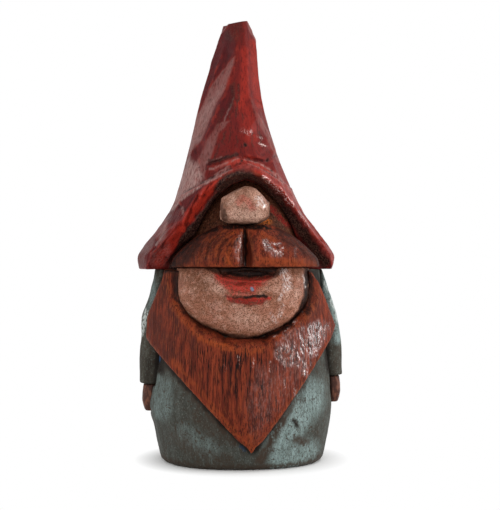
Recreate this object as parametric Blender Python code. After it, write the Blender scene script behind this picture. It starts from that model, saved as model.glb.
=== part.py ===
"""A carved and painted wooden dwarf, built up from separately carved blocks, glued and dowelled.

The dwarf stands on the XY plane, its base centred on the origin, and faces -Y. Left and right are
the dwarf's own, so its left is at +X. Sizes are in metres.
"""

import math
from collections import namedtuple
from itertools import pairwise

import bmesh
import bpy
from mathutils import Vector

# Fits
GLUE_GAP = 0.0003
DOWEL_END_GAP = 0.0004
CUTTER_MARGIN = 0.0040
WELD_DISTANCE = 0.00001

# Robe block
BODY_HEIGHT = 0.0776
BASE_HALF_WIDTH = 0.0334
BASE_HALF_DEPTH = 0.0302
BASE_ROUNDING = 0.0018
BELLY_LEVEL = 0.0240
BELLY_HALF_WIDTH = 0.0370
BELLY_HALF_DEPTH = 0.0334
CHEST_DROP = 0.0216
CHEST_HALF_WIDTH = 0.0338
CHEST_HALF_DEPTH = 0.0302
COLLAR_HALF_WIDTH = 0.0325
COLLAR_HALF_DEPTH = 0.0276
ROBE_ROUNDNESS = 2.25

# Hat: the cone, from its brim up to the sawn tip, with the lean of each section to one side
HAT_HEIGHT = 0.1021
BRIM_LEVEL = 0.0060
BRIM_HALF_WIDTH = 0.0405
BRIM_HALF_DEPTH = 0.0362
BRIM_LEAN = -0.0019
BRIM_ROLL = 0.0005
FLARE_LEVEL = 0.0230
FLARE_HALF_WIDTH = 0.0280
FLARE_HALF_DEPTH = 0.0300
FLARE_LEAN = -0.0020
CREASE_LEVEL = 0.0440
CREASE_HALF_WIDTH = 0.0194
CREASE_HALF_DEPTH = 0.0242
CREASE_LEAN = -0.0036
CONE_DROP = 0.0321
CONE_HALF_WIDTH = 0.0127
CONE_HALF_DEPTH = 0.0140
CONE_LEAN = -0.0042
TIP_HALF_WIDTH = 0.0067
TIP_HALF_DEPTH = 0.0062
TIP_LEAN = -0.0009
TIP_LEFT_CHAMFER = 0.0037
TIP_RIGHT_CHAMFER = 0.0016
HAT_ROUNDNESS = 2.15

# Opening in the hat, over the face
BRIM_LEG_WIDTH = 0.0040
OPENING_HEIGHT = 0.0374
OPENING_BEVEL = 0.0094
OPENING_BEVEL_RUN = 0.0045
OPENING_FLOOR = 0.0120
OPENING_LEAD = 1.04

# Brow block and its tenon, under the hat
TENON_DEPTH = 0.0270
TENON_HALF_WIDTH = 0.0170
TENON_HALF_DEPTH = 0.0130
TENON_ROUNDNESS = 2.4
BROW_INSET = 0.0120
BROW_FRONT = 0.0272
BROW_BACK = 0.0150
BROW_LEVEL = 0.0180
BROW_TAPER = 0.80
BROW_ROUNDNESS = 2.4
CROWN_HEIGHT = 0.0400
CROWN_HALF_WIDTH = 0.0075
CROWN_FRONT = 0.0170
CROWN_BACK = 0.0060

# Brim band, that stands forward of the cone over the opening
HOOD_PROUD = 0.0120
HOOD_TOP_PROUD = 0.0054
HOOD_INSET = 0.0006
HOOD_PEAK_WALL = 0.0012
HOOD_PEAK_SLOPE = 0.70
HOOD_SHOULDER_DROP = 0.0034
HOOD_SHOULDER_REACH = 0.0130
HOOD_SHOULDER_SETBACK = 0.0031
HOOD_GABLE = 0.52
HOOD_TILT = 0.05

# Face block, let into the robe, with its lips
FACE_HEIGHT = 0.0271
FACE_HALF_WIDTH = 0.0264
FACE_OFFSET = -0.0007
FACE_PROUD = 0.0064
FACE_LET_IN = 0.0097
FACE_BULGE_DEPTH = 0.0290
FACE_FALL = 0.0036
FACE_ROUNDNESS = 2.2
FACE_WINDOW_FLARE = 0.0024
CHIN_HALF_WIDTH = 0.0078
MOUTH_DROP = 0.0109
LIP_OFFSET = 0.0009
LIP_SET_BACK = 0.0040
LIP_PROUD = 0.0011
UPPER_LIP_HALF_WIDTH = 0.0080
UPPER_LIP_HEIGHT = 0.0054
LOWER_LIP_HALF_WIDTH = 0.0060
LOWER_LIP_HEIGHT = 0.0034
LIP_HOLLOW_HALF_WIDTH = 0.0135
LIP_HOLLOW_HEIGHT = 0.0040
LIP_HOLLOW_DEPTH = 0.0045
LIP_HOLLOW_LEAD = 0.0010

# Moustache, seated on the brow block
MOUSTACHE_INSET = 0.0073
MOUSTACHE_LIFT = 0.0014
MOUSTACHE_HEIGHT = 0.0162
MOUSTACHE_PROUD = 0.0140
MOUSTACHE_FALL = 0.0076
MOUSTACHE_END_FRONT = 0.0250
MOUSTACHE_SEAT = 0.0150
MOUSTACHE_ROUNDNESS = 2.1
PARTING_OFFSET = -0.0008
PARTING_WIDTH = 0.0056
PARTING_DEPTH = 0.0092

# Nose, over the parting
NOSE_HALF_WIDTH = 0.0098
NOSE_HALF_HEIGHT = 0.0076
NOSE_HALF_DEPTH = 0.0105
NOSE_PROUD = 0.0146
NOSE_SINK = 0.0003
NOSE_OFFSET = -0.0007
NOSE_FLAT = 0.0012

# Sleeves, let into the sides of the robe
SLEEVE_LET_IN = 0.0043
SLEEVE_FRONT = 0.0084
SLEEVE_BACK = 0.0125
SLEEVE_ROUNDNESS = 2.8
SHOULDER_PROUD = 0.0027
SHOULDER_DROP = 0.0096
SHOULDER_FALL = 0.0024
ELBOW_PROUD = 0.0078
ELBOW_DROP = 0.0316
CUFF_PROUD = 0.0048
CUFF_BACK = 0.0090
RIGHT_SLEEVE_LENGTH = 0.0461
LEFT_SLEEVE_LENGTH = 0.0431

# Hands, below the cuffs
HAND_LENGTH = 0.0108
HAND_LET_IN = 0.0025
HAND_PROUD = 0.0038
HAND_FRONT = 0.0064
HAND_BACK = 0.0056
HAND_TAPER = 0.0012
HAND_ROUNDNESS = 3.0
FINGER_GROOVE = 0.0008
FINGER_PITCH = 0.0030

# Beard, fitted to the front of the robe and round the face
BEARD_THICKNESS = 0.0060
BEARD_TIP_THICKNESS = 0.0024
BEARD_TIP_LEVEL = 0.0074
BEARD_TIP_OFFSET = 0.0020
BEARD_TIP_WIDTH = 0.0016
BEARD_CORNER_PROUD = 0.0058
BEARD_CORNER_DROP = 0.0241
BEARD_CORNER_HEIGHT = 0.0055
BEARD_LEFT_SHORTENING = 0.0024
BEARD_ARM_WIDTH = 0.0043
BEARD_TOP_DROP = 0.0008
BEARD_SLEEVE_GAP = 0.0008

# Dowels
NECK_DOWEL_RADIUS = 0.0040
NECK_DOWEL_LENGTH = 0.0240
HAT_DOWEL_RADIUS = 0.0030
HAT_DOWEL_LENGTH = 0.0280
HAT_DOWEL_OFFSET = -0.0010
FACE_DOWEL_RADIUS = 0.0024
FACE_DOWEL_LENGTH = 0.0130
NOSE_DOWEL_RADIUS = 0.0020
NOSE_DOWEL_LENGTH = 0.0150
MOUSTACHE_DOWEL_RADIUS = 0.0020
MOUSTACHE_DOWEL_LENGTH = 0.0140
MOUSTACHE_DOWEL_REACH = 0.0120
MOUSTACHE_DOWEL_LIFT = 0.0070
BEARD_DOWEL_RADIUS = 0.0018
BEARD_DOWEL_LENGTH = 0.0110
BEARD_DOWEL_REACH = 0.0130
BEARD_DOWEL_DROP = 0.0376
BEARD_DOWEL_SETBACK = 0.0032
SHOULDER_DOWEL_RADIUS = 0.0022
SHOULDER_DOWEL_LENGTH = 0.0140
SHOULDER_DOWEL_DROP = 0.0176
WRIST_PIN_RADIUS = 0.0012
WRIST_PIN_LENGTH = 0.0080

# Up one side of the opening's arch: shares of its half width and height, and how far the bevel
# runs inwards and down from there, as shares of its greatest width
ARCH_SHAPE = (
    (1.08, -0.12, 0.75, 0.0),
    (1.06, 0.04, 0.75, 0.0),
    (0.92, 0.25, 0.92, 0.0),
    (0.79, 0.37, 1.0, 0.0),
    (0.62, 0.59, 0.70, 0.10),
    (0.47, 0.78, 0.52, 0.20),
    (0.24, 0.94, 0.30, 0.22),
    (0.0, 1.0, 0.0, 0.22),
)

# Angles of the hat's ridges in degrees from +X: up to the crease, halfway up, and at the tip
HAT_RIDGES = (
    (2, 4, 8),
    (34, 40, 45),
    (62, 72, 80),
    (90, 102, 116),
    (118, 132, 152),
    (148, 160, 186),
    (180, 186, 218),
    (203, 212, 250),
    (224, 246, 270),
    (268, 276, 284),
    (318, 305, 298),
    (342, 336, 334),
)

# Ridges of the brim band between the hat's own, in front
HOOD_RIDGES = (246, 293)

# Shares up the face of its height, half width and fall: a bowl, seen from in front
FACE_SHAPE = (
    (0.06, 0.45, 0.70),
    (0.14, 0.62, 0.40),
    (0.28, 0.82, 0.06),
    (0.52, 0.97, 0.0),
    (0.75, 1.0, 0.28),
    (1.0, 1.0, 1.0),
)

# Shares up the moustache of its height, half length and fall
MOUSTACHE_SHAPE = (
    (0.0, 1.0, 0.16),
    (0.20, 0.97, 0.0),
    (0.45, 0.84, 0.24),
    (0.75, 0.64, 0.66),
    (1.0, 0.37, 1.0),
)

# Knife cuts beside the sawn tip: on which side, how far in, and the way each faces
TIP_CUTS = (
    (1, TIP_LEFT_CHAMFER, (0.88, -0.15, 0.45)),
    (-1, TIP_RIGHT_CHAMFER, (-0.60, -0.30, 0.75)),
)

# Whittled flats on the nose: the way each faces, and how deep it bites
NOSE_CUTS = (
    (0.10, -1.0, 0.10, 0.8),
    (-0.60, -0.60, 0.60, 0.35),
    (0.70, -0.60, 0.45, 0.3),
    (0.0, -0.55, -0.95, 0.5),
)

# Linear colour and roughness of each finish
ROBE_PAINT = ((0.14, 0.15, 0.13), 0.72)
HAND_PAINT = ((0.14, 0.07, 0.05), 0.60)
BEARD_STAIN = ((0.13, 0.035, 0.018), 0.50)
FLESH_PAINT = ((0.35, 0.17, 0.11), 0.48)
BROWN_WASH = ((0.05, 0.025, 0.016), 0.70)
HAT_GLAZE = ((0.20, 0.025, 0.018), 0.42)
BARE_BEECH = ((0.62, 0.45, 0.26), 0.75)

# Edges sharper than this stay crisp: on round blocks, and on knife-cut ones
SHARP_ANGLE = math.radians(30)
FACET_ANGLE = math.radians(18)

Section = namedtuple("Section", "level left right front back")


def new_collection(name):
    collection = bpy.data.collections.new(name)
    bpy.context.scene.collection.children.link(collection)
    return collection


def finish(obj, paint, sharp_angle=SHARP_ANGLE):
    """Gives a part a material of its own, and shades its gentle edges smooth."""
    colour, roughness = paint
    material = bpy.data.materials.new(f"{obj.name}_finish")
    material.use_nodes = True
    shader = material.node_tree.nodes["Principled BSDF"]
    shader.inputs["Base Color"].default_value = (*colour, 1)
    shader.inputs["Roughness"].default_value = roughness
    shader.inputs["Metallic"].default_value = 0
    obj.data.materials.append(material)
    obj.data.shade_smooth()
    obj.data.set_sharp_from_angle(angle=sharp_angle)
    return obj


def blended(knots, level):
    """The section at a level, on a smooth curve through the knots."""
    index = max(i for i in range(len(knots) - 1) if i == 0 or knots[i].level <= level)
    below = knots[max(index - 1, 0)]
    low = knots[index]
    high = knots[index + 1]
    above = knots[min(index + 2, len(knots) - 1)]
    span = high.level - low.level
    share = (level - low.level) / span
    sizes = []
    for before, start, end, after in zip(below[1:], low[1:], high[1:], above[1:]):
        leaving = (end - before) / (high.level - below.level) * span
        arriving = (after - start) / (above.level - low.level) * span
        sizes.append(
            (2 * share**3 - 3 * share**2 + 1) * start
            + (share**3 - 2 * share**2 + share) * leaving
            + (3 * share**2 - 2 * share**3) * end
            + (share**3 - share**2) * arriving
        )
    return Section(level, *sizes)


def sections_through(knots, rings_between):
    """The knots, with a few blended sections between each two."""
    levels = []
    for low, high in pairwise(knots):
        step = (high.level - low.level) / (rings_between + 1)
        levels += [low.level + step * i for i in range(rings_between + 1)]
    return [blended(knots, level) for level in [*levels, knots[-1].level]]


def ring(section, angles, roundness, grow=0.0):
    """Points round a section, a superellipse that is round at 2 and squarer above."""
    middle_x = (section.left + section.right) / 2
    middle_y = (section.front + section.back) / 2
    reach_x = (section.right - section.left) / 2 + grow
    reach_y = (section.back - section.front) / 2 + grow
    points = []
    for angle in angles:
        cosine = math.cos(angle)
        sine = math.sin(angle)
        x = reach_x * math.copysign(abs(cosine) ** (2 / roundness), cosine)
        y = reach_y * math.copysign(abs(sine) ** (2 / roundness), sine)
        points.append((middle_x + x, middle_y + y, section.level))
    return points


def surface_front(knots, x, level, roundness):
    """The Y of the front of a stack of sections, at a point of its front view."""
    section = blended(knots, min(max(level, knots[0].level), knots[-1].level))
    middle_x = (section.left + section.right) / 2
    middle_y = (section.front + section.back) / 2
    share = min(abs(x - middle_x) / ((section.right - section.left) / 2), 1)
    reach = (section.back - section.front) / 2
    return middle_y - reach * (1 - share**roundness) ** (1 / roundness)


def mesh_object(name, bm, collection):
    mesh = bpy.data.meshes.new(name)
    bm.to_mesh(mesh)
    bm.free()
    made = bpy.data.objects.new(name, mesh)
    collection.objects.link(made)
    return made


def joined_rings(name, rings, collection):
    """A closed block: each ring is joined to the next, and the end rings are capped."""
    bm = bmesh.new()
    loops = [[bm.verts.new(point) for point in points] for points in rings]
    for low, high in pairwise(loops):
        for i in range(len(low)):
            bm.faces.new((low[i - 1], low[i], high[i], high[i - 1]))
    bm.faces.new(reversed(loops[0]))
    bm.faces.new(loops[-1])
    bmesh.ops.recalc_face_normals(bm, faces=bm.faces)
    return mesh_object(name, bm, collection)


def carved_block(name, knots, collection, columns, rings_between, roundness, grow=0.0):
    """A block with the knots' sections, standing proud by grow on every side."""
    sections = sections_through(knots, rings_between)
    sections[0] = sections[0]._replace(level=sections[0].level - grow)
    sections[-1] = sections[-1]._replace(level=sections[-1].level + grow)
    angles = [math.tau * (i + 0.5) / columns for i in range(columns)]
    return joined_rings(name, [ring(s, angles, roundness, grow) for s in sections], collection)


def flat_plate(name, outline, near, far, collection):
    """A plate with the outline given as X and Z, from near to far along Y."""
    curve = bpy.data.curves.new(name, "CURVE")
    curve.dimensions = "2D"
    curve.fill_mode = "BOTH"
    curve.extrude = (far - near) / 2
    spline = curve.splines.new("POLY")
    spline.points.add(len(outline) - 1)
    for point, (x, z) in zip(spline.points, outline):
        point.co = (x, z, 0, 1)
    spline.use_cyclic_u = True
    drawn = bpy.data.objects.new(f"{name}_outline", curve)
    collection.objects.link(drawn)
    drawn.rotation_euler.x = math.pi / 2
    drawn.location.y = (near + far) / 2
    bpy.context.view_layer.update()
    evaluated = drawn.evaluated_get(bpy.context.evaluated_depsgraph_get())
    mesh = bpy.data.meshes.new_from_object(evaluated)
    bm = bmesh.new()
    bm.from_mesh(mesh)
    bmesh.ops.remove_doubles(bm, verts=bm.verts, dist=WELD_DISTANCE)
    bmesh.ops.recalc_face_normals(bm, faces=bm.faces)
    bm.to_mesh(mesh)
    bm.free()
    plate = bpy.data.objects.new(name, mesh)
    plate.matrix_world = drawn.matrix_world
    collection.objects.link(plate)
    bpy.data.objects.remove(drawn)
    return plate


def ball(name, centre, reach, collection, segments=20, rings=12):
    """An ellipsoid that reaches so far from its centre along X, Y and Z."""
    bm = bmesh.new()
    bmesh.ops.create_uvsphere(bm, u_segments=segments, v_segments=rings, radius=1)
    bmesh.ops.scale(bm, vec=reach, verts=bm.verts)
    bmesh.ops.translate(bm, vec=centre, verts=bm.verts)
    return mesh_object(name, bm, collection)


def round_bar(name, middle, direction, length, radius, collection, segments=20):
    bm = bmesh.new()
    bmesh.ops.create_cone(
        bm, cap_ends=True, segments=segments, radius1=radius, radius2=radius, depth=length
    )
    bar = mesh_object(name, bm, collection)
    bar.rotation_mode = "QUATERNION"
    bar.rotation_quaternion = Vector(direction).to_track_quat("Z", "Y")
    bar.location = middle
    return bar


def knife_cut(obj, point, normal):
    """Slices off all that lies beyond the plane, and closes the block again."""
    bm = bmesh.new()
    bm.from_mesh(obj.data)
    everything = [*bm.verts, *bm.edges, *bm.faces]
    bmesh.ops.bisect_plane(
        bm,
        geom=everything,
        dist=WELD_DISTANCE,
        plane_co=point,
        plane_no=normal,
        clear_outer=True,
    )
    bmesh.ops.holes_fill(bm, edges=[e for e in bm.edges if e.is_boundary])
    bmesh.ops.recalc_face_normals(bm, faces=bm.faces)
    bm.to_mesh(obj.data)
    bm.free()


def as_cutter(obj):
    obj.hide_render = True
    obj.display_type = "WIRE"
    return obj


def combine(target, other, operation):
    modifier = target.modifiers.new(f"{operation.lower()}_{other.name}", "BOOLEAN")
    modifier.operation = operation
    modifier.solver = "EXACT"
    modifier.object = other


def subtract(target, *cutters):
    for cutter in cutters:
        combine(target, cutter, "DIFFERENCE")


def drilled_dowel(name, middle, direction, length, radius, blocks):
    """A dowel, and its hole in each of the blocks that it joins."""
    dowel = round_bar(name, middle, direction, length, radius, PARTS)
    hole_length = length + 2 * DOWEL_END_GAP
    hole_radius = radius + GLUE_GAP
    hole = round_bar(f"{name}_hole", middle, direction, hole_length, hole_radius, CUTTERS)
    for block in blocks:
        subtract(block, as_cutter(hole))
    return finish(dowel, BARE_BEECH)


def head_floor():
    """The level of everything that rests on the top of the robe."""
    return BODY_HEIGHT + GLUE_GAP


def robe_knots():
    """Sections of the robe from the table up."""

    def oval(level, half_width, half_depth):
        return Section(level, -half_width, half_width, -half_depth, half_depth)

    return [
        oval(0.0, BASE_HALF_WIDTH - BASE_ROUNDING, BASE_HALF_DEPTH - BASE_ROUNDING),
        oval(BASE_ROUNDING, BASE_HALF_WIDTH, BASE_HALF_DEPTH),
        oval(BELLY_LEVEL, BELLY_HALF_WIDTH, BELLY_HALF_DEPTH),
        oval(BODY_HEIGHT - CHEST_DROP, CHEST_HALF_WIDTH, CHEST_HALF_DEPTH),
        oval(BODY_HEIGHT, COLLAR_HALF_WIDTH, COLLAR_HALF_DEPTH),
    ]


def robe_form(name, collection, grow=0.0):
    return carved_block(name, robe_knots(), collection, 32, 2, ROBE_ROUNDNESS, grow)


def tenon_form(name, collection, grow=0.0):
    sizes = (-TENON_HALF_WIDTH, TENON_HALF_WIDTH, -TENON_HALF_DEPTH, TENON_HALF_DEPTH)
    foot = Section(BODY_HEIGHT - TENON_DEPTH, *sizes)
    top = Section(head_floor() + CUTTER_MARGIN, *sizes)
    return carved_block(name, [foot, top], collection, 24, 0, TENON_ROUNDNESS, grow)


def opening_half_width():
    return BRIM_HALF_WIDTH - BRIM_LEG_WIDTH


def brow_half_width():
    """The brow block stands behind the bevel of the opening."""
    return opening_half_width() - BROW_INSET


def brow_form(name, collection, grow=0.0):
    foot = brow_half_width()
    brow = foot * BROW_TAPER
    knots = [
        Section(head_floor(), -foot, foot, -BROW_FRONT, BROW_BACK),
        Section(head_floor() + BROW_LEVEL, -brow, brow, -BROW_FRONT, BROW_BACK),
        Section(
            head_floor() + CROWN_HEIGHT,
            -CROWN_HALF_WIDTH,
            CROWN_HALF_WIDTH,
            -CROWN_FRONT,
            CROWN_BACK,
        ),
    ]
    return carved_block(name, knots, collection, 28, 3, BROW_ROUNDNESS, grow)


def moustache_floor():
    return BODY_HEIGHT + MOUSTACHE_LIFT


def face_top():
    """The face reaches up to the moustache."""
    return moustache_floor() - GLUE_GAP


def face_front():
    return CHEST_HALF_DEPTH + FACE_PROUD


def face_seat():
    """How far in front of the middle the flat back of the face stands."""
    return CHEST_HALF_DEPTH - FACE_LET_IN


def face_knots():
    """Sections of the face, deeper than the block so that it bulges, from the chin up."""
    foot = face_top() - FACE_HEIGHT
    stations = [(foot, CHIN_HALF_WIDTH, FACE_FALL)]
    for rise, width, fall in FACE_SHAPE:
        stations.append((foot + rise * FACE_HEIGHT, width * FACE_HALF_WIDTH, fall * FACE_FALL))
    knots = []
    for level, half_width, fall in stations:
        front = fall - face_front()
        sides = (FACE_OFFSET - half_width, FACE_OFFSET + half_width)
        knots.append(Section(level, *sides, front, front + FACE_BULGE_DEPTH))
    return knots


def face_form(name, collection, grow=0.0):
    block = carved_block(name, face_knots(), collection, 28, 1, FACE_ROUNDNESS, grow)
    knife_cut(block, (0, grow - face_seat(), 0), (0, 1, 0))
    return block


def face_window(name, collection):
    """Cuts the beard away in front of the face, wider towards the front."""
    rings = []
    for y, grow in (
        (-BELLY_HALF_DEPTH - BEARD_THICKNESS - CUTTER_MARGIN, GLUE_GAP + FACE_WINDOW_FLARE),
        (-face_seat(), GLUE_GAP),
    ):
        sections = sections_through(face_knots(), 1)
        foot = sections[0]
        top = sections[-1]
        outline = [(s.left - grow, s.level) for s in sections[1:-1]]
        outline.append((top.left - grow, top.level + CUTTER_MARGIN))
        outline.append((top.right + grow, top.level + CUTTER_MARGIN))
        outline += [(s.right + grow, s.level) for s in reversed(sections[1:-1])]
        outline += [(foot.right, foot.level - grow), (foot.left, foot.level - grow)]
        rings.append([(x, y, z) for x, z in outline])
    return as_cutter(joined_rings(name, rings, collection))


def lip(name, level, half_width, height):
    """A lip, half sunk in the front of the face."""
    centre = (LIP_OFFSET, LIP_SET_BACK - face_front(), level)
    reach = (half_width, LIP_SET_BACK + LIP_PROUD, height / 2)
    return as_cutter(ball(name, centre, reach, CUTTERS, 16, 8))


def lip_hollow(name):
    """The hollow between the upper lip and the moustache."""
    centre = (FACE_OFFSET, -face_front() - LIP_HOLLOW_LEAD, face_top())
    reach = (LIP_HOLLOW_HALF_WIDTH, LIP_HOLLOW_DEPTH + LIP_HOLLOW_LEAD, LIP_HOLLOW_HEIGHT)
    return as_cutter(ball(name, centre, reach, CUTTERS))


def moustache_front():
    return BROW_FRONT + MOUSTACHE_PROUD


def moustache_form(name, collection):
    """Both lobes together: wide and proud at the foot, drawn in towards the nose."""
    knots = []
    for rise, width, fall in MOUSTACHE_SHAPE:
        half_width = width * (opening_half_width() - MOUSTACHE_INSET)
        front = fall * MOUSTACHE_FALL - moustache_front()
        back = -2 * MOUSTACHE_END_FRONT - front
        level = moustache_floor() + rise * MOUSTACHE_HEIGHT
        knots.append(Section(level, -half_width, half_width, front, back))
    block = carved_block(name, knots, collection, 32, 1, MOUSTACHE_ROUNDNESS)
    knife_cut(block, (0, -MOUSTACHE_SEAT, 0), (0, 1, 0))
    return block


def parting_cutter(name):
    """An upright four-sided bar that cuts the V between the lobes."""
    middle = (PARTING_OFFSET, -moustache_front(), moustache_floor() + MOUSTACHE_HEIGHT / 2)
    bar = round_bar(name, middle, (0, 0, 1), 2 * MOUSTACHE_HEIGHT, PARTING_DEPTH, CUTTERS, 4)
    bar.scale.x = PARTING_WIDTH / (2 * PARTING_DEPTH)
    return as_cutter(bar)


def nose_centre():
    """The nose rests on the moustache, over the parting."""
    level = moustache_floor() + MOUSTACHE_HEIGHT + NOSE_HALF_HEIGHT - NOSE_SINK
    return Vector((NOSE_OFFSET, NOSE_HALF_DEPTH - NOSE_PROUD - BROW_FRONT, level))


def nose_ball(name, collection, grow=0.0):
    reach = (NOSE_HALF_WIDTH + grow, NOSE_HALF_DEPTH + grow, NOSE_HALF_HEIGHT + grow)
    return ball(name, nose_centre(), reach, collection)


def nose_form(name, collection):
    """A ball, whittled flatter in front and on its cheeks."""
    block = nose_ball(name, collection)
    for across, along, up, bite in NOSE_CUTS:
        normal = Vector((across, along, up)).normalized()
        reach = math.hypot(
            normal.x * NOSE_HALF_WIDTH, normal.y * NOSE_HALF_DEPTH, normal.z * NOSE_HALF_HEIGHT
        )
        knife_cut(block, nose_centre() + normal * (reach - bite * NOSE_FLAT), normal)
    return block


def hat_section(level, half_width, half_depth, lean):
    sides = (lean - half_width, lean + half_width)
    return Section(head_floor() + level, *sides, -half_depth, half_depth)


def hat_knots():
    """The cone from the flared brim up to the sawn tip, leaning to the dwarf's right."""
    return [
        hat_section(0.0, BRIM_HALF_WIDTH - BRIM_ROLL, BRIM_HALF_DEPTH, BRIM_LEAN - BRIM_ROLL),
        hat_section(BRIM_LEVEL, BRIM_HALF_WIDTH, BRIM_HALF_DEPTH, BRIM_LEAN),
        hat_section(FLARE_LEVEL, FLARE_HALF_WIDTH, FLARE_HALF_DEPTH, FLARE_LEAN),
        hat_section(CREASE_LEVEL, CREASE_HALF_WIDTH, CREASE_HALF_DEPTH, CREASE_LEAN),
        hat_section(HAT_HEIGHT - CONE_DROP, CONE_HALF_WIDTH, CONE_HALF_DEPTH, CONE_LEAN),
        hat_section(HAT_HEIGHT, TIP_HALF_WIDTH, TIP_HALF_DEPTH, TIP_LEAN),
    ]


def ridge_angles(level):
    """Where the ridges between the knife facets stand at a level: they turn about the cone."""
    crease = head_floor() + CREASE_LEVEL
    halfway = head_floor() + HAT_HEIGHT - CONE_DROP
    angles = []
    for at_crease, at_halfway, at_tip in HAT_RIDGES:
        if level <= halfway:
            share = max(level - crease, 0) / (halfway - crease)
            turned = at_crease + (at_halfway - at_crease) * share
        else:
            share = (level - halfway) / CONE_DROP
            turned = at_halfway + (at_tip - at_halfway) * share
        angles.append(math.radians(turned))
    return angles


def hat_cone(name, collection):
    sections = sections_through(hat_knots(), 3)
    rings = [ring(s, ridge_angles(s.level), HAT_ROUNDNESS) for s in sections]
    cone = joined_rings(name, rings, collection)
    top = head_floor() + HAT_HEIGHT
    for side, chamfer, facing in TIP_CUTS:
        knife_cut(cone, (TIP_LEAN + side * (TIP_HALF_WIDTH - chamfer), 0, top), facing)
    return cone


def hood_knots():
    """The brim band: just inside the cone at the sides and back, but standing forward of it."""
    knots = []
    for section in sections_through(hat_knots()[:4], 1):
        share = (section.level - head_floor()) / CREASE_LEVEL
        front = -BROW_FRONT - HOOD_PROUD - (HOOD_TOP_PROUD - HOOD_PROUD) * share
        sides = (section.left + HOOD_INSET, section.right - HOOD_INSET)
        knots.append(Section(section.level, *sides, front, section.back - HOOD_INSET))
    return knots


def hood_form(name, collection):
    """The brim band, its top cut to a gable that follows the opening."""
    angles = sorted([*ridge_angles(head_floor()), *map(math.radians, HOOD_RIDGES)])
    rings = [ring(s, angles, HAT_ROUNDNESS) for s in hood_knots()]
    hood = joined_rings(name, rings, collection)
    peak_front = -BROW_FRONT - HOOD_TOP_PROUD
    peak_level = head_floor() + OPENING_HEIGHT + HOOD_PEAK_WALL
    knife_cut(hood, (0, peak_front, peak_level), (0, -HOOD_PEAK_SLOPE, 1))
    for side in (-1, 1):
        shoulder = (
            side * HOOD_SHOULDER_REACH,
            peak_front + HOOD_SHOULDER_SETBACK,
            peak_level - HOOD_SHOULDER_DROP,
        )
        knife_cut(hood, shoulder, (side * HOOD_GABLE, -HOOD_TILT, 1))
    return hood


def arch(bevel):
    """The outline of the opening over the face as X and Z, an inverted V, inside its bevel."""
    side = []
    for width, rise, inwards, down in ARCH_SHAPE:
        x = width * opening_half_width() - inwards * bevel
        side.append((x, head_floor() + rise * OPENING_HEIGHT - down * bevel))
    return [(-x, z) for x, z in side] + [(x, z) for x, z in reversed(side[:-1])]


def opening_cutter(name, collection):
    """Cuts the opening, and bevels the edge of the brim all along its curve."""
    outer = arch(0)
    inner = arch(OPENING_BEVEL)
    lead_front = -BROW_FRONT - HOOD_PROUD - CUTTER_MARGIN
    deepest = -OPENING_FLOOR - OPENING_BEVEL_RUN - GLUE_GAP
    knots = hood_knots()
    surface = [min(surface_front(knots, x, z, HAT_ROUNDNESS), deepest) for x, z in outer]
    rings = [
        [(x * OPENING_LEAD, lead_front, z) for x, z in outer],
        [(x, y, z) for (x, z), y in zip(outer, surface)],
        [(x, y + OPENING_BEVEL_RUN, z) for (x, z), y in zip(inner, surface)],
        [(x, -OPENING_FLOOR, z) for x, z in inner],
    ]
    return as_cutter(joined_rings(name, rings, collection))


def beard_knots():
    """The robe's own sections, standing further out the higher they are."""
    corner_level = BODY_HEIGHT - BEARD_CORNER_DROP
    knots = []
    for section in sections_through(robe_knots(), 1):
        share = max(section.level - BEARD_TIP_LEVEL, 0) / (corner_level - BEARD_TIP_LEVEL)
        grow = BEARD_TIP_THICKNESS + (BEARD_THICKNESS - BEARD_TIP_THICKNESS) * min(share, 1)
        sides = (section.left - grow, section.right + grow)
        knots.append(Section(section.level, *sides, section.front - grow, section.back + grow))
    return knots


def beard_outline():
    """The beard from in front: a broad V from the side corners to the tip."""
    corner = CHEST_HALF_WIDTH + BEARD_CORNER_PROUD
    corner_level = BODY_HEIGHT - BEARD_CORNER_DROP
    left_corner = corner - BEARD_LEFT_SHORTENING
    arm = FACE_HALF_WIDTH + BEARD_ARM_WIDTH
    top = BODY_HEIGHT - BEARD_TOP_DROP
    return [
        (BEARD_TIP_OFFSET - BEARD_TIP_WIDTH / 2, BEARD_TIP_LEVEL),
        (BEARD_TIP_OFFSET + BEARD_TIP_WIDTH / 2, BEARD_TIP_LEVEL),
        (left_corner - BEARD_CORNER_HEIGHT / 2, corner_level - BEARD_CORNER_HEIGHT / 2),
        (left_corner, corner_level + BEARD_CORNER_HEIGHT / 2),
        (FACE_OFFSET + arm, top),
        (FACE_OFFSET - arm, top),
        (-corner, corner_level + BEARD_CORNER_HEIGHT / 2),
        (-corner, corner_level - BEARD_CORNER_HEIGHT / 2),
    ]


def beard_plate(name, collection):
    """A plate with the beard's outline, that reaches back to the sleeves."""
    near = -BELLY_HALF_DEPTH - BEARD_THICKNESS - CUTTER_MARGIN
    far = -SLEEVE_FRONT - BEARD_SLEEVE_GAP
    return as_cutter(flat_plate(name, beard_outline(), near, far, collection))


def sleeve_form(name, side, length, collection, grow=0.0):
    """A sleeve let into the side of the robe, thickest at the elbow; side is -1 or +1."""
    stations = (
        (length, BELLY_HALF_WIDTH + CUFF_PROUD, CUFF_BACK),
        (ELBOW_DROP, CHEST_HALF_WIDTH + ELBOW_PROUD, SLEEVE_BACK),
        (SHOULDER_DROP, COLLAR_HALF_WIDTH + SHOULDER_PROUD + SHOULDER_FALL, SLEEVE_BACK),
        (0.0, COLLAR_HALF_WIDTH + SHOULDER_PROUD, SLEEVE_BACK - SHOULDER_FALL),
    )
    inner = CHEST_HALF_WIDTH - SLEEVE_LET_IN
    knots = []
    for drop, outer, back in stations:
        sides = sorted((side * inner, side * outer))
        knots.append(Section(BODY_HEIGHT - drop, *sides, -SLEEVE_FRONT, back))
    return carved_block(name, knots, collection, 24, 2, SLEEVE_ROUNDNESS, grow)


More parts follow.
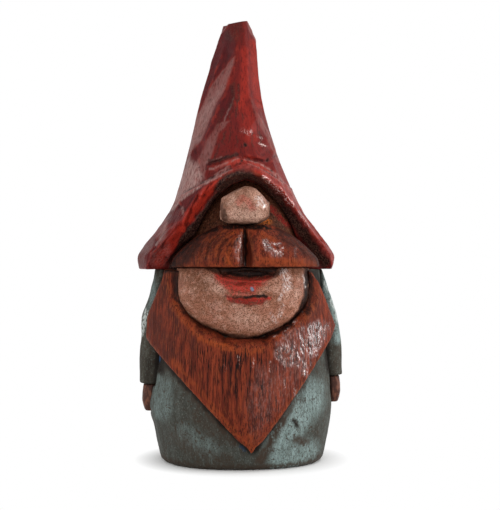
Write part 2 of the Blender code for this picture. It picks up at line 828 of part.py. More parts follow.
def hand_reach():
    """How far out the inner and outer sides of a hand are."""
    return BELLY_HALF_WIDTH - HAND_LET_IN, BELLY_HALF_WIDTH + HAND_PROUD


def hand_form(name, side, cuff_level, collection, grow=0.0):
    """A mitten of a hand below the cuff, let into the robe."""
    top = cuff_level - GLUE_GAP
    inner, outer = hand_reach()
    knots = []
    for drop, taper in ((1.0, HAND_TAPER), (0.6, 0.0), (0.0, HAND_TAPER / 2)):
        sides = sorted((side * inner, side * (outer - taper)))
        depth = (-HAND_FRONT + taper, HAND_BACK - taper)
        knots.append(Section(top - drop * HAND_LENGTH, *sides, *depth))
    return carved_block(name, knots, collection, 20, 1, HAND_ROUNDNESS, grow)


def finger_cutters(name, side, cuff_level):
    """Three upright grooves between the fingers."""
    foot = cuff_level - GLUE_GAP - HAND_LENGTH
    cutters = []
    for i in (-1, 0, 1):
        middle = (side * hand_reach()[1], (HAND_BACK - HAND_FRONT) / 2 + i * FINGER_PITCH, foot)
        bar = round_bar(
            f"{name}_{i + 2}", middle, (0, 0, 1), HAND_LENGTH * 1.2, FINGER_GROOVE, CUTTERS, 8
        )
        cutters.append(as_cutter(bar))
    return cutters


for leftover in list(bpy.data.objects):
    bpy.data.objects.remove(leftover)

PARTS = new_collection("dwarf_figurine")
CUTTERS = new_collection("cutters")

# Robe block, with a mortise for the neck and a pocket for the face
robe = finish(robe_form("robe_block", PARTS), ROBE_PAINT)
subtract(robe, as_cutter(tenon_form("neck_mortise", CUTTERS, GLUE_GAP)))
subtract(robe, as_cutter(face_form("face_pocket", CUTTERS, GLUE_GAP)))

# Brow block and its tenon, under the hat
head = finish(brow_form("head_block", PARTS), BROWN_WASH)
combine(head, as_cutter(tenon_form("neck_tenon", CUTTERS)), "UNION")
subtract(head, as_cutter(face_form("face_top_pocket", CUTTERS, GLUE_GAP)))

# Face, with a hollow over its two carved lips
face = finish(face_form("face", PARTS), FLESH_PAINT)
mouth_level = face_top() - MOUTH_DROP
upper_level = mouth_level + GLUE_GAP + UPPER_LIP_HEIGHT / 2
lower_level = mouth_level - GLUE_GAP - LOWER_LIP_HEIGHT / 2
subtract(face, lip_hollow("lip_hollow"))
combine(face, lip("upper_lip", upper_level, UPPER_LIP_HALF_WIDTH, UPPER_LIP_HEIGHT), "UNION")
combine(face, lip("lower_lip", lower_level, LOWER_LIP_HALF_WIDTH, LOWER_LIP_HEIGHT), "UNION")

# Moustache and nose, seated on the brow block
brow_seat = as_cutter(brow_form("brow_seat", CUTTERS, GLUE_GAP))
nose_saddle = as_cutter(nose_ball("nose_saddle", CUTTERS, GLUE_GAP))
moustache = finish(moustache_form("moustache", PARTS), BEARD_STAIN)
subtract(moustache, brow_seat, nose_saddle, parting_cutter("parting"))
nose = finish(nose_form("nose", PARTS), FLESH_PAINT, FACET_ANGLE)
subtract(nose, brow_seat)

# Hat, hollowed to sit over the brow block
hat = finish(hat_cone("hat", PARTS), HAT_GLAZE, FACET_ANGLE)
combine(hat, as_cutter(hood_form("brim_band", CUTTERS)), "UNION")
subtract(hat, opening_cutter("face_opening", CUTTERS), brow_seat)

# Beard, fitted to the robe and round the face
beard = finish(carved_block("beard", beard_knots(), PARTS, 36, 1, ROBE_ROUNDNESS), BEARD_STAIN)
combine(beard, beard_plate("beard_shape", CUTTERS), "INTERSECT")
subtract(beard, as_cutter(robe_form("robe_front", CUTTERS, GLUE_GAP)))
subtract(beard, face_window("face_window", CUTTERS))

# Dowels down the middle
drilled_dowel(
    "neck_dowel",
    (0, 0, BODY_HEIGHT - TENON_DEPTH),
    (0, 0, 1),
    NECK_DOWEL_LENGTH,
    NECK_DOWEL_RADIUS,
    (robe, head),
)
drilled_dowel(
    "hat_dowel",
    (HAT_DOWEL_OFFSET, (CROWN_BACK - CROWN_FRONT) / 2, head_floor() + CROWN_HEIGHT),
    (0, 0, 1),
    HAT_DOWEL_LENGTH,
    HAT_DOWEL_RADIUS,
    (head, hat),
)
drilled_dowel(
    "face_dowel",
    (FACE_OFFSET, -face_seat(), face_top() - FACE_HEIGHT / 2),
    (0, 1, 0),
    FACE_DOWEL_LENGTH,
    FACE_DOWEL_RADIUS,
    (robe, face),
)
drilled_dowel(
    "nose_dowel",
    (NOSE_OFFSET, -BROW_FRONT, nose_centre().z),
    (0, 1, 0),
    NOSE_DOWEL_LENGTH,
    NOSE_DOWEL_RADIUS,
    (head, nose),
)

# Sleeves, hands and the dowels that come in pairs
for side, word, sleeve_length in (
    (-1, "right", RIGHT_SLEEVE_LENGTH),
    (1, "left", LEFT_SLEEVE_LENGTH),
):
    cuff_level = BODY_HEIGHT - sleeve_length
    sleeve = finish(sleeve_form(f"{word}_sleeve", side, sleeve_length, PARTS), ROBE_PAINT)
    hand = finish(hand_form(f"{word}_hand", side, cuff_level, PARTS), HAND_PAINT)
    sleeve_pocket = sleeve_form(f"{word}_sleeve_pocket", side, sleeve_length, CUTTERS, GLUE_GAP)
    hand_pocket = hand_form(f"{word}_hand_pocket", side, cuff_level, CUTTERS, GLUE_GAP)
    subtract(robe, as_cutter(sleeve_pocket), as_cutter(hand_pocket))
    subtract(hand, *finger_cutters(f"{word}_finger_groove", side, cuff_level))

    drilled_dowel(
        f"moustache_dowel_{word}",
        (side * MOUSTACHE_DOWEL_REACH, -BROW_FRONT, moustache_floor() + MOUSTACHE_DOWEL_LIFT),
        (0, 1, 0),
        MOUSTACHE_DOWEL_LENGTH,
        MOUSTACHE_DOWEL_RADIUS,
        (head, moustache),
    )
    beard_dowel_x = side * BEARD_DOWEL_REACH
    beard_dowel_level = BODY_HEIGHT - BEARD_DOWEL_DROP
    robe_surface = surface_front(robe_knots(), beard_dowel_x, beard_dowel_level, ROBE_ROUNDNESS)
    drilled_dowel(
        f"beard_dowel_{word}",
        (beard_dowel_x, robe_surface + BEARD_DOWEL_SETBACK, beard_dowel_level),
        (0, 1, 0),
        BEARD_DOWEL_LENGTH,
        BEARD_DOWEL_RADIUS,
        (robe, beard),
    )
    drilled_dowel(
        f"shoulder_dowel_{word}",
        (
            side * (CHEST_HALF_WIDTH - SLEEVE_LET_IN),
            (SLEEVE_BACK - SLEEVE_FRONT) / 2,
            BODY_HEIGHT - SHOULDER_DOWEL_DROP,
        ),
        (1, 0, 0),
        SHOULDER_DOWEL_LENGTH,
        SHOULDER_DOWEL_RADIUS,
        (robe, sleeve),
    )
    drilled_dowel(
        f"wrist_pin_{word}",
        (side * sum(hand_reach()) / 2, (HAND_BACK - HAND_FRONT) / 2, cuff_level),
        (0, 0, 1),
        WRIST_PIN_LENGTH,
        WRIST_PIN_RADIUS,
        (sleeve, hand),
    )
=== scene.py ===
import math

import bmesh
import bpy
import numpy as np
from mathutils import Matrix, Vector, geometry, noise
from mathutils.bvhtree import BVHTree


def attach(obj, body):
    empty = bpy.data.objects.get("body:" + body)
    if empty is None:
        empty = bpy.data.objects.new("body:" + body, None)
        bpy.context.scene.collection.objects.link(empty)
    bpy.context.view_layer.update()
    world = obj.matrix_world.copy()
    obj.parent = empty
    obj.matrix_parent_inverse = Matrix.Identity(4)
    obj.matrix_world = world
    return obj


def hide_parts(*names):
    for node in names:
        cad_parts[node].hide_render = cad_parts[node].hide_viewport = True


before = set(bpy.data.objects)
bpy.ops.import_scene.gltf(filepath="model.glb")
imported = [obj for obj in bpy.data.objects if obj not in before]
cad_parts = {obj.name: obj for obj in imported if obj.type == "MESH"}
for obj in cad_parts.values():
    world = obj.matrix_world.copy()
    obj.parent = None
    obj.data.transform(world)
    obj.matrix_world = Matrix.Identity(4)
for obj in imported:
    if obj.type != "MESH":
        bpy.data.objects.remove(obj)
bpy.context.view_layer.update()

# A dwarf whittled from wood and painted. It stands on the floor and faces -Y, and left and right
# are its own: its left is at +X. Sizes are in millimetres, times MM where Blender takes them.

MM = 0.001
BRIM_HEIGHT = 77.9  # where the brim rests on the robe, the sleeves and the beard
TOP_LIFT = 1.4  # how much further up the tops of these are carried, to meet it
RNG = np.random.default_rng(7)


# Colour and nodes

# The places of a Mix node's sockets: two values or two colours go in, and one of the kind comes out
VALUE_UNDER, VALUE_OVER, VALUE_MIXED = 2, 3, 0
COLOUR_UNDER, COLOUR_OVER, COLOUR_MIXED = 6, 7, 2


def linear(hex_code):
    """An sRGB hex colour as the linear colour that a shader takes."""
    channels = [int(hex_code[i : i + 2], 16) / 255 for i in (1, 3, 5)]
    return (*[c / 12.92 if c <= 0.04045 else ((c + 0.055) / 1.055) ** 2.4 for c in channels], 1)


def add(tree, kind, inputs=None, **settings):
    """Adds a node with its settings; an input is a value, or the output that feeds it."""
    node = tree.nodes.new(f"ShaderNode{kind}")
    for name, value in settings.items():
        setattr(node, name, value)
    for name, value in (inputs or {}).items():
        if isinstance(value, bpy.types.NodeSocket):
            tree.links.new(value, node.inputs[name])
        else:
            node.inputs[name].default_value = value
    return node


class Finish:
    """A painter's finish, laid on the carved wood coat by coat."""

    def __init__(self, name, ground, roughness, gloss):
        """The IOR stays 1.5; gloss is under 0.5, as thin paint sinks into wood and shines less."""
        self.material = bpy.data.materials.new(name)
        self.material.use_nodes = True
        self.tree = self.material.node_tree
        self.shader = self.tree.nodes["Principled BSDF"]
        self.shader.inputs["Specular IOR Level"].default_value = gloss
        self.place = add(self.tree, "TexCoord").outputs["Object"]
        self.colour = linear(ground)
        self.roughness = roughness
        self.normal = None

    def cloud(self, size, grain, seed, detail):
        """Uneven patches of a size in millimetres, drawn out along the grain of the wood."""
        shift = (seed * 10 * MM,) * 3  # each seed takes another part of the noise
        spot = {"Vector": self.place, "Scale": (1, 1, 1 / grain), "Location": shift}
        spot = add(self.tree, "Mapping", spot).outputs[0]
        lumps = {"Vector": spot, "Scale": 1 / (size * MM), "Detail": detail, "Roughness": 0.6}
        return add(self.tree, "TexNoise", lumps).outputs["Fac"]

    def cover(self, mask=None, size=None, grain=1, low=0, high=1, amount=1, seed=0, detail=3):
        """How much of a coat stays: where a mask of the carving lets it, in broken patches.

        A patch begins where the noise passes low, and is whole where it passes high.
        """
        share = amount
        if size is not None:
            cloud = self.cloud(size, grain, seed, detail)
            limits = {"Value": cloud, "From Min": low, "From Max": high, "To Max": amount}
            share = add(self.tree, "MapRange", limits, interpolation_type="SMOOTHSTEP").outputs[0]
        if mask is not None:
            worked = add(self.tree, "Attribute", attribute_name=mask).outputs["Fac"]
            share = add(self.tree, "Math", {0: worked, 1: share}, operation="MULTIPLY").outputs[0]
        return share

    def coat(self, colour, **cover):
        """Brushes on a colour."""
        layers = {"Factor": self.cover(**cover)}
        layers |= {COLOUR_UNDER: self.colour, COLOUR_OVER: linear(colour)}
        self.colour = add(self.tree, "Mix", layers, data_type="RGBA").outputs[COLOUR_MIXED]

    def rub(self, roughness, **cover):
        """Leaves the surface rougher or smoother than it was."""
        layers = {"Factor": self.cover(**cover)}
        layers |= {VALUE_UNDER: self.roughness, VALUE_OVER: roughness}
        self.roughness = add(self.tree, "Mix", layers, data_type="FLOAT").outputs[VALUE_MIXED]

    def varnish(self, roughness, **cover):
        """Clear varnish over the paint, in the places that it covers."""
        self.shader.inputs["Coat Roughness"].default_value = roughness
        self.tree.links.new(self.cover(**cover), self.shader.inputs["Coat Weight"])

    def relief(self, depth, size, grain=1, seed=0, detail=3):
        """Fine relief of a depth and a size in millimetres."""
        bumps = {"Height": self.cloud(size, grain, seed, detail), "Distance": depth * MM}
        if self.normal is not None:
            bumps["Normal"] = self.normal
        self.normal = add(self.tree, "Bump", bumps).outputs[0]

    def done(self):
        """Joins what was laid on to the shader, and gives the material."""
        finished = {"Base Color": self.colour, "Roughness": self.roughness}
        if self.normal is not None:
            finished["Normal"] = self.normal
        for name, value in finished.items():
            if isinstance(value, bpy.types.NodeSocket):
                self.tree.links.new(value, self.shader.inputs[name])
            else:
                self.shader.inputs[name].default_value = value
        return self.material


# Carving


def smoothstep(values, low, high):
    """From 0 at the low value to 1 at the high one, and level at both."""
    share = np.clip((values - low) / (high - low), 0, 1)
    return share * share * (3 - 2 * share)


def clouds(points, size, stretch=1.0, shift=0.0):
    """Noise from -1 to 1 at each point, with lumps of a size, stretched up the grain."""
    scaled = points / (size * MM * np.array((1, 1, stretch))) + shift
    return np.array([noise.noise(Vector(p)) for p in scaled.tolist()])


def distance_to(path, x, z):
    """How far each place is from a path, seen from the front."""
    distance = np.full(len(x), np.inf)
    for (ax, az), (bx, bz) in zip(path, path[1:] or path):
        length = (bx - ax) ** 2 + (bz - az) ** 2
        share = np.clip(((x - ax) * (bx - ax) + (z - az) * (bz - az)) / max(length, 1e-9), 0, 1)
        away = np.hypot(x - ax - share * (bx - ax), z - az - share * (bz - az))
        distance = np.minimum(distance, away)
    return distance


def surface_of(node):
    """The surface of one of the plain blocks, to measure distances to."""
    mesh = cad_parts[node].data
    corners = [corner.co for corner in mesh.vertices]
    return BVHTree.FromPolygons(corners, [list(face.vertices) for face in mesh.polygons])


class Carving:
    """A block of the figure while it is carved: its points, and the way each one faces."""

    def __init__(self, node, voxel):
        """Takes an even, fine mesh from the plain block, and sands off the steps in it."""
        self.node = node
        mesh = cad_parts[node].data.copy()
        # The remesh needs the corners joined that the plain block has once for each face.
        bm = bmesh.new()
        bm.from_mesh(mesh)
        bmesh.ops.remove_doubles(bm, verts=bm.verts, dist=0.001 * MM)
        bm.to_mesh(mesh)
        bm.free()
        block = bpy.data.objects.new(f"{node}_block_out", mesh)
        bpy.context.scene.collection.objects.link(block)
        remesh = block.modifiers.new("remesh", "REMESH")
        remesh.mode = "VOXEL"
        remesh.voxel_size = voxel * MM
        evaluated = block.evaluated_get(bpy.context.evaluated_depsgraph_get())
        self.mesh = bpy.data.meshes.new_from_object(evaluated)
        self.mesh.name = f"{node}_carved"
        bpy.data.objects.remove(block)
        self.mesh.materials.clear()
        self.edges = np.empty(len(self.mesh.edges) * 2, np.int64)
        self.mesh.edges.foreach_get("vertices", self.edges)
        self.edges = self.edges.reshape(-1, 2)
        self.points = np.empty(len(self.mesh.vertices) * 3)
        self.mesh.vertices.foreach_get("co", self.points)
        self.points = self.points.reshape(-1, 3)
        self.masks = {}
        self.sway = None
        self.settle()
        self.sand(rounds=2)

    def settle(self):
        """Takes up the points as they now are, and works out again how they face."""
        self.mesh.vertices.foreach_set("co", self.points.ravel())
        self.mesh.update()
        facing = np.empty(len(self.points) * 3, np.float32)
        self.mesh.vertex_normals.foreach_get("vector", facing)
        self.facing = facing.reshape(-1, 3).astype(float)

    def averaged(self, values, rounds):
        """Each value evened out with its neighbours' on the surface, over and over."""
        count = len(self.points)
        one, other = self.edges.T
        share = np.bincount(one, minlength=count) + np.bincount(other, minlength=count)
        values = np.array(values, float).reshape(count, -1)
        for _ in range(rounds):
            total = np.empty_like(values)
            for i in range(values.shape[1]):
                total[:, i] = np.bincount(one, values[other, i], count)
                total[:, i] += np.bincount(other, values[one, i], count)
            values = (values + total) / (share[:, None] + 1)
        return values.squeeze()

    def sand(self, rounds):
        """Evens out the whole surface, and takes a little off every edge."""
        self.points = self.averaged(self.points, rounds)
        self.settle()

    def push(self, heights):
        """Moves each point out by its own height."""
        self.points += self.facing * np.asarray(heights)[:, None]
        self.settle()

    def roughen(self, depth, size, stretch=1.0, shift=0.0, mask=None):
        """Lumps of a depth and a size, all over or only where a mask is."""
        heights = depth * MM * clouds(self.points, size, stretch, shift)
        self.push(heights if mask is None else heights * self.masks[mask])

    def facets(self, knots, lines, slack):
        """Pares the front flat between knots, moving it by the slack at most."""
        flat = [Vector((x, z)) for x, y, z in knots]
        corners, _, faces, origins, _, _ = geometry.delaunay_2d_cdt(flat, lines, [], 0, 1e-6)
        deep = [knots[origin[0]][1] for origin in origins]
        x, y, z = self.points.T / MM
        moved = np.zeros(len(y))
        for a, b, c in faces:
            (ax, az), (bx, bz), (cx, cz) = corners[a], corners[b], corners[c]
            area = (bz - cz) * (ax - cx) + (cx - bx) * (az - cz)
            first = ((bz - cz) * (x - cx) + (cx - bx) * (z - cz)) / area
            second = ((cz - az) * (x - cx) + (ax - cx) * (z - cz)) / area
            third = 1 - first - second
            inside = (np.minimum(np.minimum(first, second), third) >= 0) & (y < 0)
            plane = first * deep[a] + second * deep[b] + third * deep[c]
            moved[inside] = (plane - y)[inside]
        # What lies much further off than the slack is another form, and stays.
        near = 1 - smoothstep(np.abs(moved), 1.4 * slack, 2.2 * slack)
        moved = self.averaged(np.clip(moved, -slack, slack) * near, rounds=2)
        self.points[:, 1] += moved * MM
        self.settle()

    def pare(self, centre, facing, reach):
        """A flat cut: what stands proud of a plane, within reach of its centre, goes."""
        soft = 0.35  # share of the reach over which the cut runs out
        normal = np.array(facing, float)
        normal /= np.linalg.norm(normal)
        away = self.points - np.array(centre) * MM
        proud = away @ normal
        flat = np.linalg.norm(away - proud[:, None] * normal, axis=1)
        reach = reach * MM
        near = (1 - smoothstep(flat, reach * (1 - soft), reach * (1 + soft))) * (proud < reach)
        self.points -= (np.maximum(proud, 0) * near)[:, None] * normal

    def flatten(self, outlines, slack):
        """Planes the front flat inside each outline, moving it by the slack at most."""
        x, y, z = self.points.T / MM
        moved = np.zeros(len(y))
        for outline in outlines:
            share = self.patch(edge=0.6, outline=outline)
            inside = share > 0.5
            across = np.column_stack((x, z, np.ones(len(x))))
            plane = across @ np.linalg.lstsq(across[inside], y[inside], rcond=None)[0]
            moved += share * np.clip(plane - y, -slack, slack)
        self.points[:, 1] += np.clip(moved, -slack, slack) * MM
        self.settle()

    def whittle(self, cuts, length, width, depth, allowed=None):
        """Knife strokes at random places, each a shallow hollow more or less down the grain."""
        slant = 0.15  # how far a stroke strays from the grain
        facing = self.averaged(self.facing, rounds=10)
        choice = np.arange(len(self.points)) if allowed is None else np.flatnonzero(allowed)
        for index in RNG.choice(choice, cuts):
            out = facing[index] / np.linalg.norm(facing[index])
            along = np.array((0, 0, 1.0)) + RNG.normal(0, slant, 3)
            along -= (along @ out) * out
            along /= np.linalg.norm(along)
            size = RNG.uniform(0.6, 1.3)  # no two strokes are as large
            away = (self.points - self.points[index]) / MM
            run = np.abs(away @ along) / (length * size)
            side = np.linalg.norm(away - np.outer(away @ along, along), axis=1) / (width * size)
            hollow = np.clip(1 - side**2, 0, 1) * np.clip(1 - run**2, 0, 1)
            self.points -= np.outer(hollow * depth * size * MM, out)
        self.settle()

    def seen(self, wobble):
        """X and Z of each point, with the tremble of a hand."""
        x, z = self.points[:, 0] / MM, self.points[:, 2] / MM
        if wobble:
            if self.sway is None:
                self.sway = [clouds(self.points, size=2.2, shift=shift) for shift in (0, 9)]
            x, z = x + wobble * self.sway[0], z + wobble * self.sway[1]
        return x, z

    def in_front(self):
        """1 where the surface faces the front, and 0 where it faces aside or back."""
        return smoothstep(-self.facing[:, 1], 0.02, 0.2)

    def stroke(self, width, path, wobble=0.0):
        """From 1 on a path to 0 a width away, seen from the front."""
        distance = distance_to(path, *self.seen(wobble))
        return (1 - smoothstep(distance, 0.25 * width, width)) * self.in_front()

    def patch(self, edge, outline, wobble=0.0):
        """From 1 inside an outline to 0 outside it, across an edge's width."""
        x, z = self.seen(wobble)
        inside = np.zeros(len(x), bool)
        outline = (*outline, outline[0])
        for (ax, az), (bx, bz) in zip(outline, outline[1:]):
            if az != bz:
                inside ^= ((az > z) != (bz > z)) & (x < ax + (z - az) / (bz - az) * (bx - ax))
        out = np.where(inside, -1, 1) * distance_to(outline, x, z)
        return (1 - smoothstep(out, -edge / 2, edge / 2)) * self.in_front()

    def cut(self, strokes):
        """Carves strokes into the front: each has a depth, a width and a path."""
        self.push(-MM * sum(depth * self.stroke(width, path) for depth, width, path in strokes))

    def ease(self, strokes, rounds):
        """Rounds the edges over along strokes: each has a strength, a width and a path."""
        share = np.max([strength * self.stroke(*place) for strength, *place in strokes], axis=0)
        self.points += (self.averaged(self.points, rounds) - self.points) * share[:, None]
        self.settle()

    def build_up(self):
        """Carries the top of a piece on up to the brim, by stretching its last 4 mm."""
        z = self.points[:, 2] / MM
        lift = TOP_LIFT * smoothstep(z, BRIM_HEIGHT - 4, BRIM_HEIGHT - 1.6)
        self.points[:, 2] = np.minimum(z + lift, BRIM_HEIGHT) * MM
        self.settle()

    def bulge(self, beyond, height, reach, depth):
        """Fills out the side beyond a place in X, most at one height; it starts 4 mm before."""
        x, z = self.points[:, 0] / MM, self.points[:, 2] / MM
        side = math.copysign(1, beyond)
        outer = smoothstep(side * x, abs(beyond) - 4, abs(beyond))
        share = outer * (1 - smoothstep(abs(z - height), 0, reach))
        self.points[:, 0] += side * depth * MM * share
        self.settle()

    def widen(self, centre, height, reach, share):
        """Makes the foot of a piece broader about a place in X, and less so further up."""
        x, z = self.points[:, 0] / MM - centre, self.points[:, 2] / MM
        self.points[:, 0] += x * MM * share * (1 - smoothstep(z, height, height + reach))
        self.settle()

    def brush(self, mask, strokes=(), patches=(), wobble=0.8):
        """Marks where the painter's brush goes: a strength, a width and a path or an outline."""
        marked = self.masks.get(mask, np.zeros(len(self.points)))
        for strength, width, path in strokes:
            marked = np.maximum(marked, strength * self.stroke(width, path, wobble))
        for strength, edge, outline in patches:
            marked = np.maximum(marked, strength * self.patch(edge, outline, wobble))
        self.masks[mask] = marked

    def wear(self, neighbours, deep, seam=0.7):
        """Masks for the wash that stays in hollows and seams, and for the rub on the edges."""
        # How far the surface lies under, or over, the same surface with its details evened out
        smooth = self.averaged(self.points, rounds=14)
        hollow = ((smooth - self.points) * self.facing).sum(axis=1) / MM
        self.masks["hollow"] = smoothstep(hollow, 0.15 * deep, deep)
        self.masks["edge"] = smoothstep(-hollow, 0.4 * deep, 1.6 * deep)
        closeness = np.zeros(len(self.points))
        for node in neighbours:
            surface = surface_of(node)
            for i, point in enumerate(self.points.tolist()):
                distance = surface.find_nearest(point, 4 * seam * MM)[3]
                if distance is not None:
                    closeness[i] = max(closeness[i], math.exp(-((distance / MM / seam) ** 2)))
        self.masks["seam"] = closeness

    def close_up(self, node, gap, reach):
        """Brings the surface up against a neighbour, where it is within reach of it."""
        surface = surface_of(node)
        for i, point in enumerate(self.points.tolist()):
            nearest, _, _, distance = surface.find_nearest(point, reach * MM)
            if distance is not None and distance > gap * MM:
                share = 1 - smoothstep(distance / MM, 0.6 * reach, reach)
                self.points[i] += (np.array(nearest) - point) * share * (1 - gap * MM / distance)
        self.settle()

    def hand_over(self, material):
        """Puts the carved piece, with its masks, in the place of the plain block."""
        self.points[:, 2] = np.maximum(self.points[:, 2], 0)
        self.settle()
        for name, values in self.masks.items():
            layer = self.mesh.attributes.new(name, "FLOAT", "POINT")
            layer.data.foreach_set("value", np.clip(values, 0, 1).astype(np.float32))
        self.mesh.shade_smooth()
        self.mesh.materials.append(material)
        piece = bpy.data.objects.new(f"{self.node}_carved", self.mesh)
        bpy.context.scene.collection.objects.link(piece)
        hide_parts(self.node)
        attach(piece, "root")


# Finishes


def red_glaze():
    """Red oil glaze on limewood: the grain shows as fine dark lines, and hollows stay dark."""
    paint = Finish("red_oil_glaze", "#631a17", roughness=0.46, gloss=0.08)
    # Thin and thick places, as wide as the brush
    paint.coat("#721f1a", size=10, grain=2, low=0.46, high=0.66, seed=3)
    paint.coat("#531617", size=8, grain=2, low=0.52, high=0.70, amount=0.7, seed=8)
    # Painted shade on facets that turn from the light, a grey-pink painted sheen where the glaze
    # has bloomed, a painted highlight on the crest, rubbed glaze that is partly painted light,
    # and painted sheen along the ridges, in streaks left by the hairs of the brush
    paint.coat("#481316", mask="shaded_crimson", size=2.4, grain=5, low=0.1, high=0.55, amount=0.9, seed=6)
    paint.coat("#7c524e", mask="bloom_and_sheen", size=1.5, grain=7, low=0.12, high=0.58, amount=0.85, seed=2)
    paint.coat("#9a443c", mask="pale", size=1.4, grain=1.5, low=0.3, high=0.65, amount=0.8, seed=9)
    paint.coat("#aa3022", mask="rubbed", size=1.6, grain=3, low=0.05, high=0.55, seed=4)
    paint.coat("#a3857f", mask="painted_sheen", size=0.8, grain=4, low=0.30, high=0.60, amount=0.9, seed=12)
    # Grain and nicks of about 0.1 mm, drawn 0.5 to 0.6 mm wide so that they show
    paint.coat("#35100f", size=0.6, grain=12, low=0.52, high=0.68, amount=0.65, detail=4)
    paint.coat("#2c0d0d", size=0.5, grain=2, low=0.60, high=0.68, amount=0.6, seed=15, detail=4)
    # Bare edges, dirt in what is hollow, brown where the glaze ran thin, and dirt together with
    # painted shade inside the opening and at the tip
    paint.coat("#8f3026", mask="edge", size=1.6, grain=2, low=0.42, high=0.6, amount=0.5, seed=6)
    paint.coat("#260f10", mask="hollow", size=1.6, grain=2, low=0.35, high=0.6, amount=0.7, seed=5)
    paint.coat("#6b2c14", mask="brown", size=1.2, low=0.3, high=0.55, seed=9)
    paint.coat("#1b0a0a", mask="dirt_and_shade", size=1.1, grain=2, low=0.15, high=0.45, seed=7)
    paint.coat("#583c32", mask="dirt_and_shade", size=0.5, low=0.47, high=0.60, amount=0.85, seed=17)
    # Painted highlights: pale glints where the oil lies thick; and the dark line of the seam
    paint.coat("#e0c4bc", mask="sparkle", size=0.6, low=0.52, high=0.60, amount=0.85, seed=14)
    paint.coat("#140806", mask="seam")
    paint.rub(0.34, size=3, low=0.4, high=0.7, seed=11)
    paint.varnish(0.12, mask="sparkle", size=0.8, low=0.36, high=0.48, seed=13)
    paint.relief(0.08, size=0.6, grain=14, detail=4)
    paint.relief(0.14, size=0.5, grain=2, seed=2, detail=4)
    return paint.done()


def brown_stain():
    """Red-brown spirit stain on open-pored wood, pooled shellac, and painted light and shade."""
    paint = Finish("brown_spirit_stain", "#65281a", roughness=0.5, gloss=0.06)
    # Early wood drinks more stain than late wood: light bands, and dark ones on their other side
    paint.coat("#803520", size=1.6, grain=10, low=0.48, high=0.62, amount=0.9, seed=4)
    paint.coat("#451910", size=1.6, grain=10, low=0.50, high=0.36, amount=0.85, seed=4)
    # Orange stain that is partly a painted highlight, duller stain that is partly painted shade, worn
    # edges, and on the shellac a pale painted sheen of highlight and painted glints
    paint.coat("#93411f", mask="warm_and_highlight", size=0.9, grain=2.5, low=0.2, high=0.55, amount=0.9, seed=3)
    paint.coat("#4a211a", mask="dull_and_shade", size=2, grain=3, low=0.25, high=0.55, amount=0.85, seed=9)
    paint.coat("#8a4527", mask="edge", size=1.2, grain=3, low=0.42, high=0.62, amount=0.6, seed=6)
    paint.coat("#a5827d", mask="gloss", size=0.7, grain=2.5, low=0.49, high=0.6, amount=0.6, seed=13)
    paint.coat("#d3bab3", mask="sparkle", size=0.5, grain=2, low=0.5, high=0.58, amount=0.85, seed=23)
    # Pores of about 0.2 mm, drawn 0.4 mm wide so that they show
    paint.coat("#2b120c", size=0.4, grain=14, low=0.54, high=0.61, amount=0.85, seed=1, detail=4)
    paint.coat("#8a4526", size=0.45, grain=12, low=0.56, high=0.64, amount=0.45, seed=21, detail=4)
    paint.coat("#140908", mask="pores", size=0.42, grain=18, low=0.54, high=0.58, seed=5, detail=4)
    # Dirt in the grooves and seams, and painted shade under the brim, the hat's edge and the nose
    paint.coat("#241009", mask="hollow", size=0.8, grain=3, low=0.3, high=0.6, amount=0.8, seed=2)
    paint.coat("#160a07", mask="dirt_and_shade", size=0.8, grain=2, low=0.2, high=0.48, seed=8)
    paint.coat("#120806", mask="seam")
    paint.varnish(0.20, mask="gloss", size=1.6, low=0.26, high=0.42, seed=13)
    paint.relief(0.22, size=0.42, grain=16, seed=5, detail=4)
    paint.relief(0.16, size=0.6, grain=2, seed=6, detail=4)
    return paint.done()


def flesh_paint(name, ground, light, specks):
    """Flesh-coloured oil paint, flecked with a brown wash that was wiped off again."""
    paint = Finish(name, ground, roughness=0.5, gloss=0.1)
    # Thin and thick paint, then pale places, brown places that are partly painted shade, and the red
    # of the lips and the nose
    paint.coat(light, size=3.0, low=0.44, high=0.66, amount=0.8, seed=1)
    paint.coat("#8c564a", size=5, low=0.52, high=0.70, amount=0.5, seed=9)
    paint.coat("#c9a391", mask="pale", size=0.8, low=0.2, high=0.6, amount=0.8, seed=22)
    paint.coat("#69412c", mask="brown", size=1.6, low=0.3, high=0.6, amount=0.85, seed=4)
    paint.coat("#b22c25", mask="red", size=0.8, grain=0.5, low=0.1, high=0.5, amount=0.95, seed=2)
    # Specks of wash in pores of about 0.2 mm, drawn 0.4 mm wide so that they show
    paint.coat("#4d2d1d", size=0.42, low=0.47, high=0.62, amount=specks, seed=3)
    paint.coat("#64402c", size=1.1, low=0.52, high=0.64, amount=0.6, seed=12, detail=4)
    # Dirt in the hollows and seams, painted shade under the moustache, in the mouth and round the
    # nose, a blue fleck of the robe's paint, and oil that shines, with pale painted highlights on it
    paint.coat("#3c2016", mask="hollow", size=1.0, low=0.3, high=0.6, amount=0.7, seed=6)
    paint.coat("#180c09", mask="dirt_and_shade", size=0.9, low=0.1, high=0.42, seed=8)
    paint.coat("#5c2f20", mask="dirt_and_shade", size=0.5, low=0.56, high=0.64, amount=0.45, seed=17)
    paint.coat("#180a07", mask="seam")
    paint.coat("#66788a", mask="fleck")
    paint.coat("#d2c0ba", mask="gloss", size=0.7, grain=1.4, low=0.46, high=0.56, amount=0.7, seed=13)
    paint.varnish(0.16, mask="gloss", size=1.4, low=0.28, high=0.42, seed=13)
    paint.relief(0.12, size=0.7, seed=5)
    return paint.done()


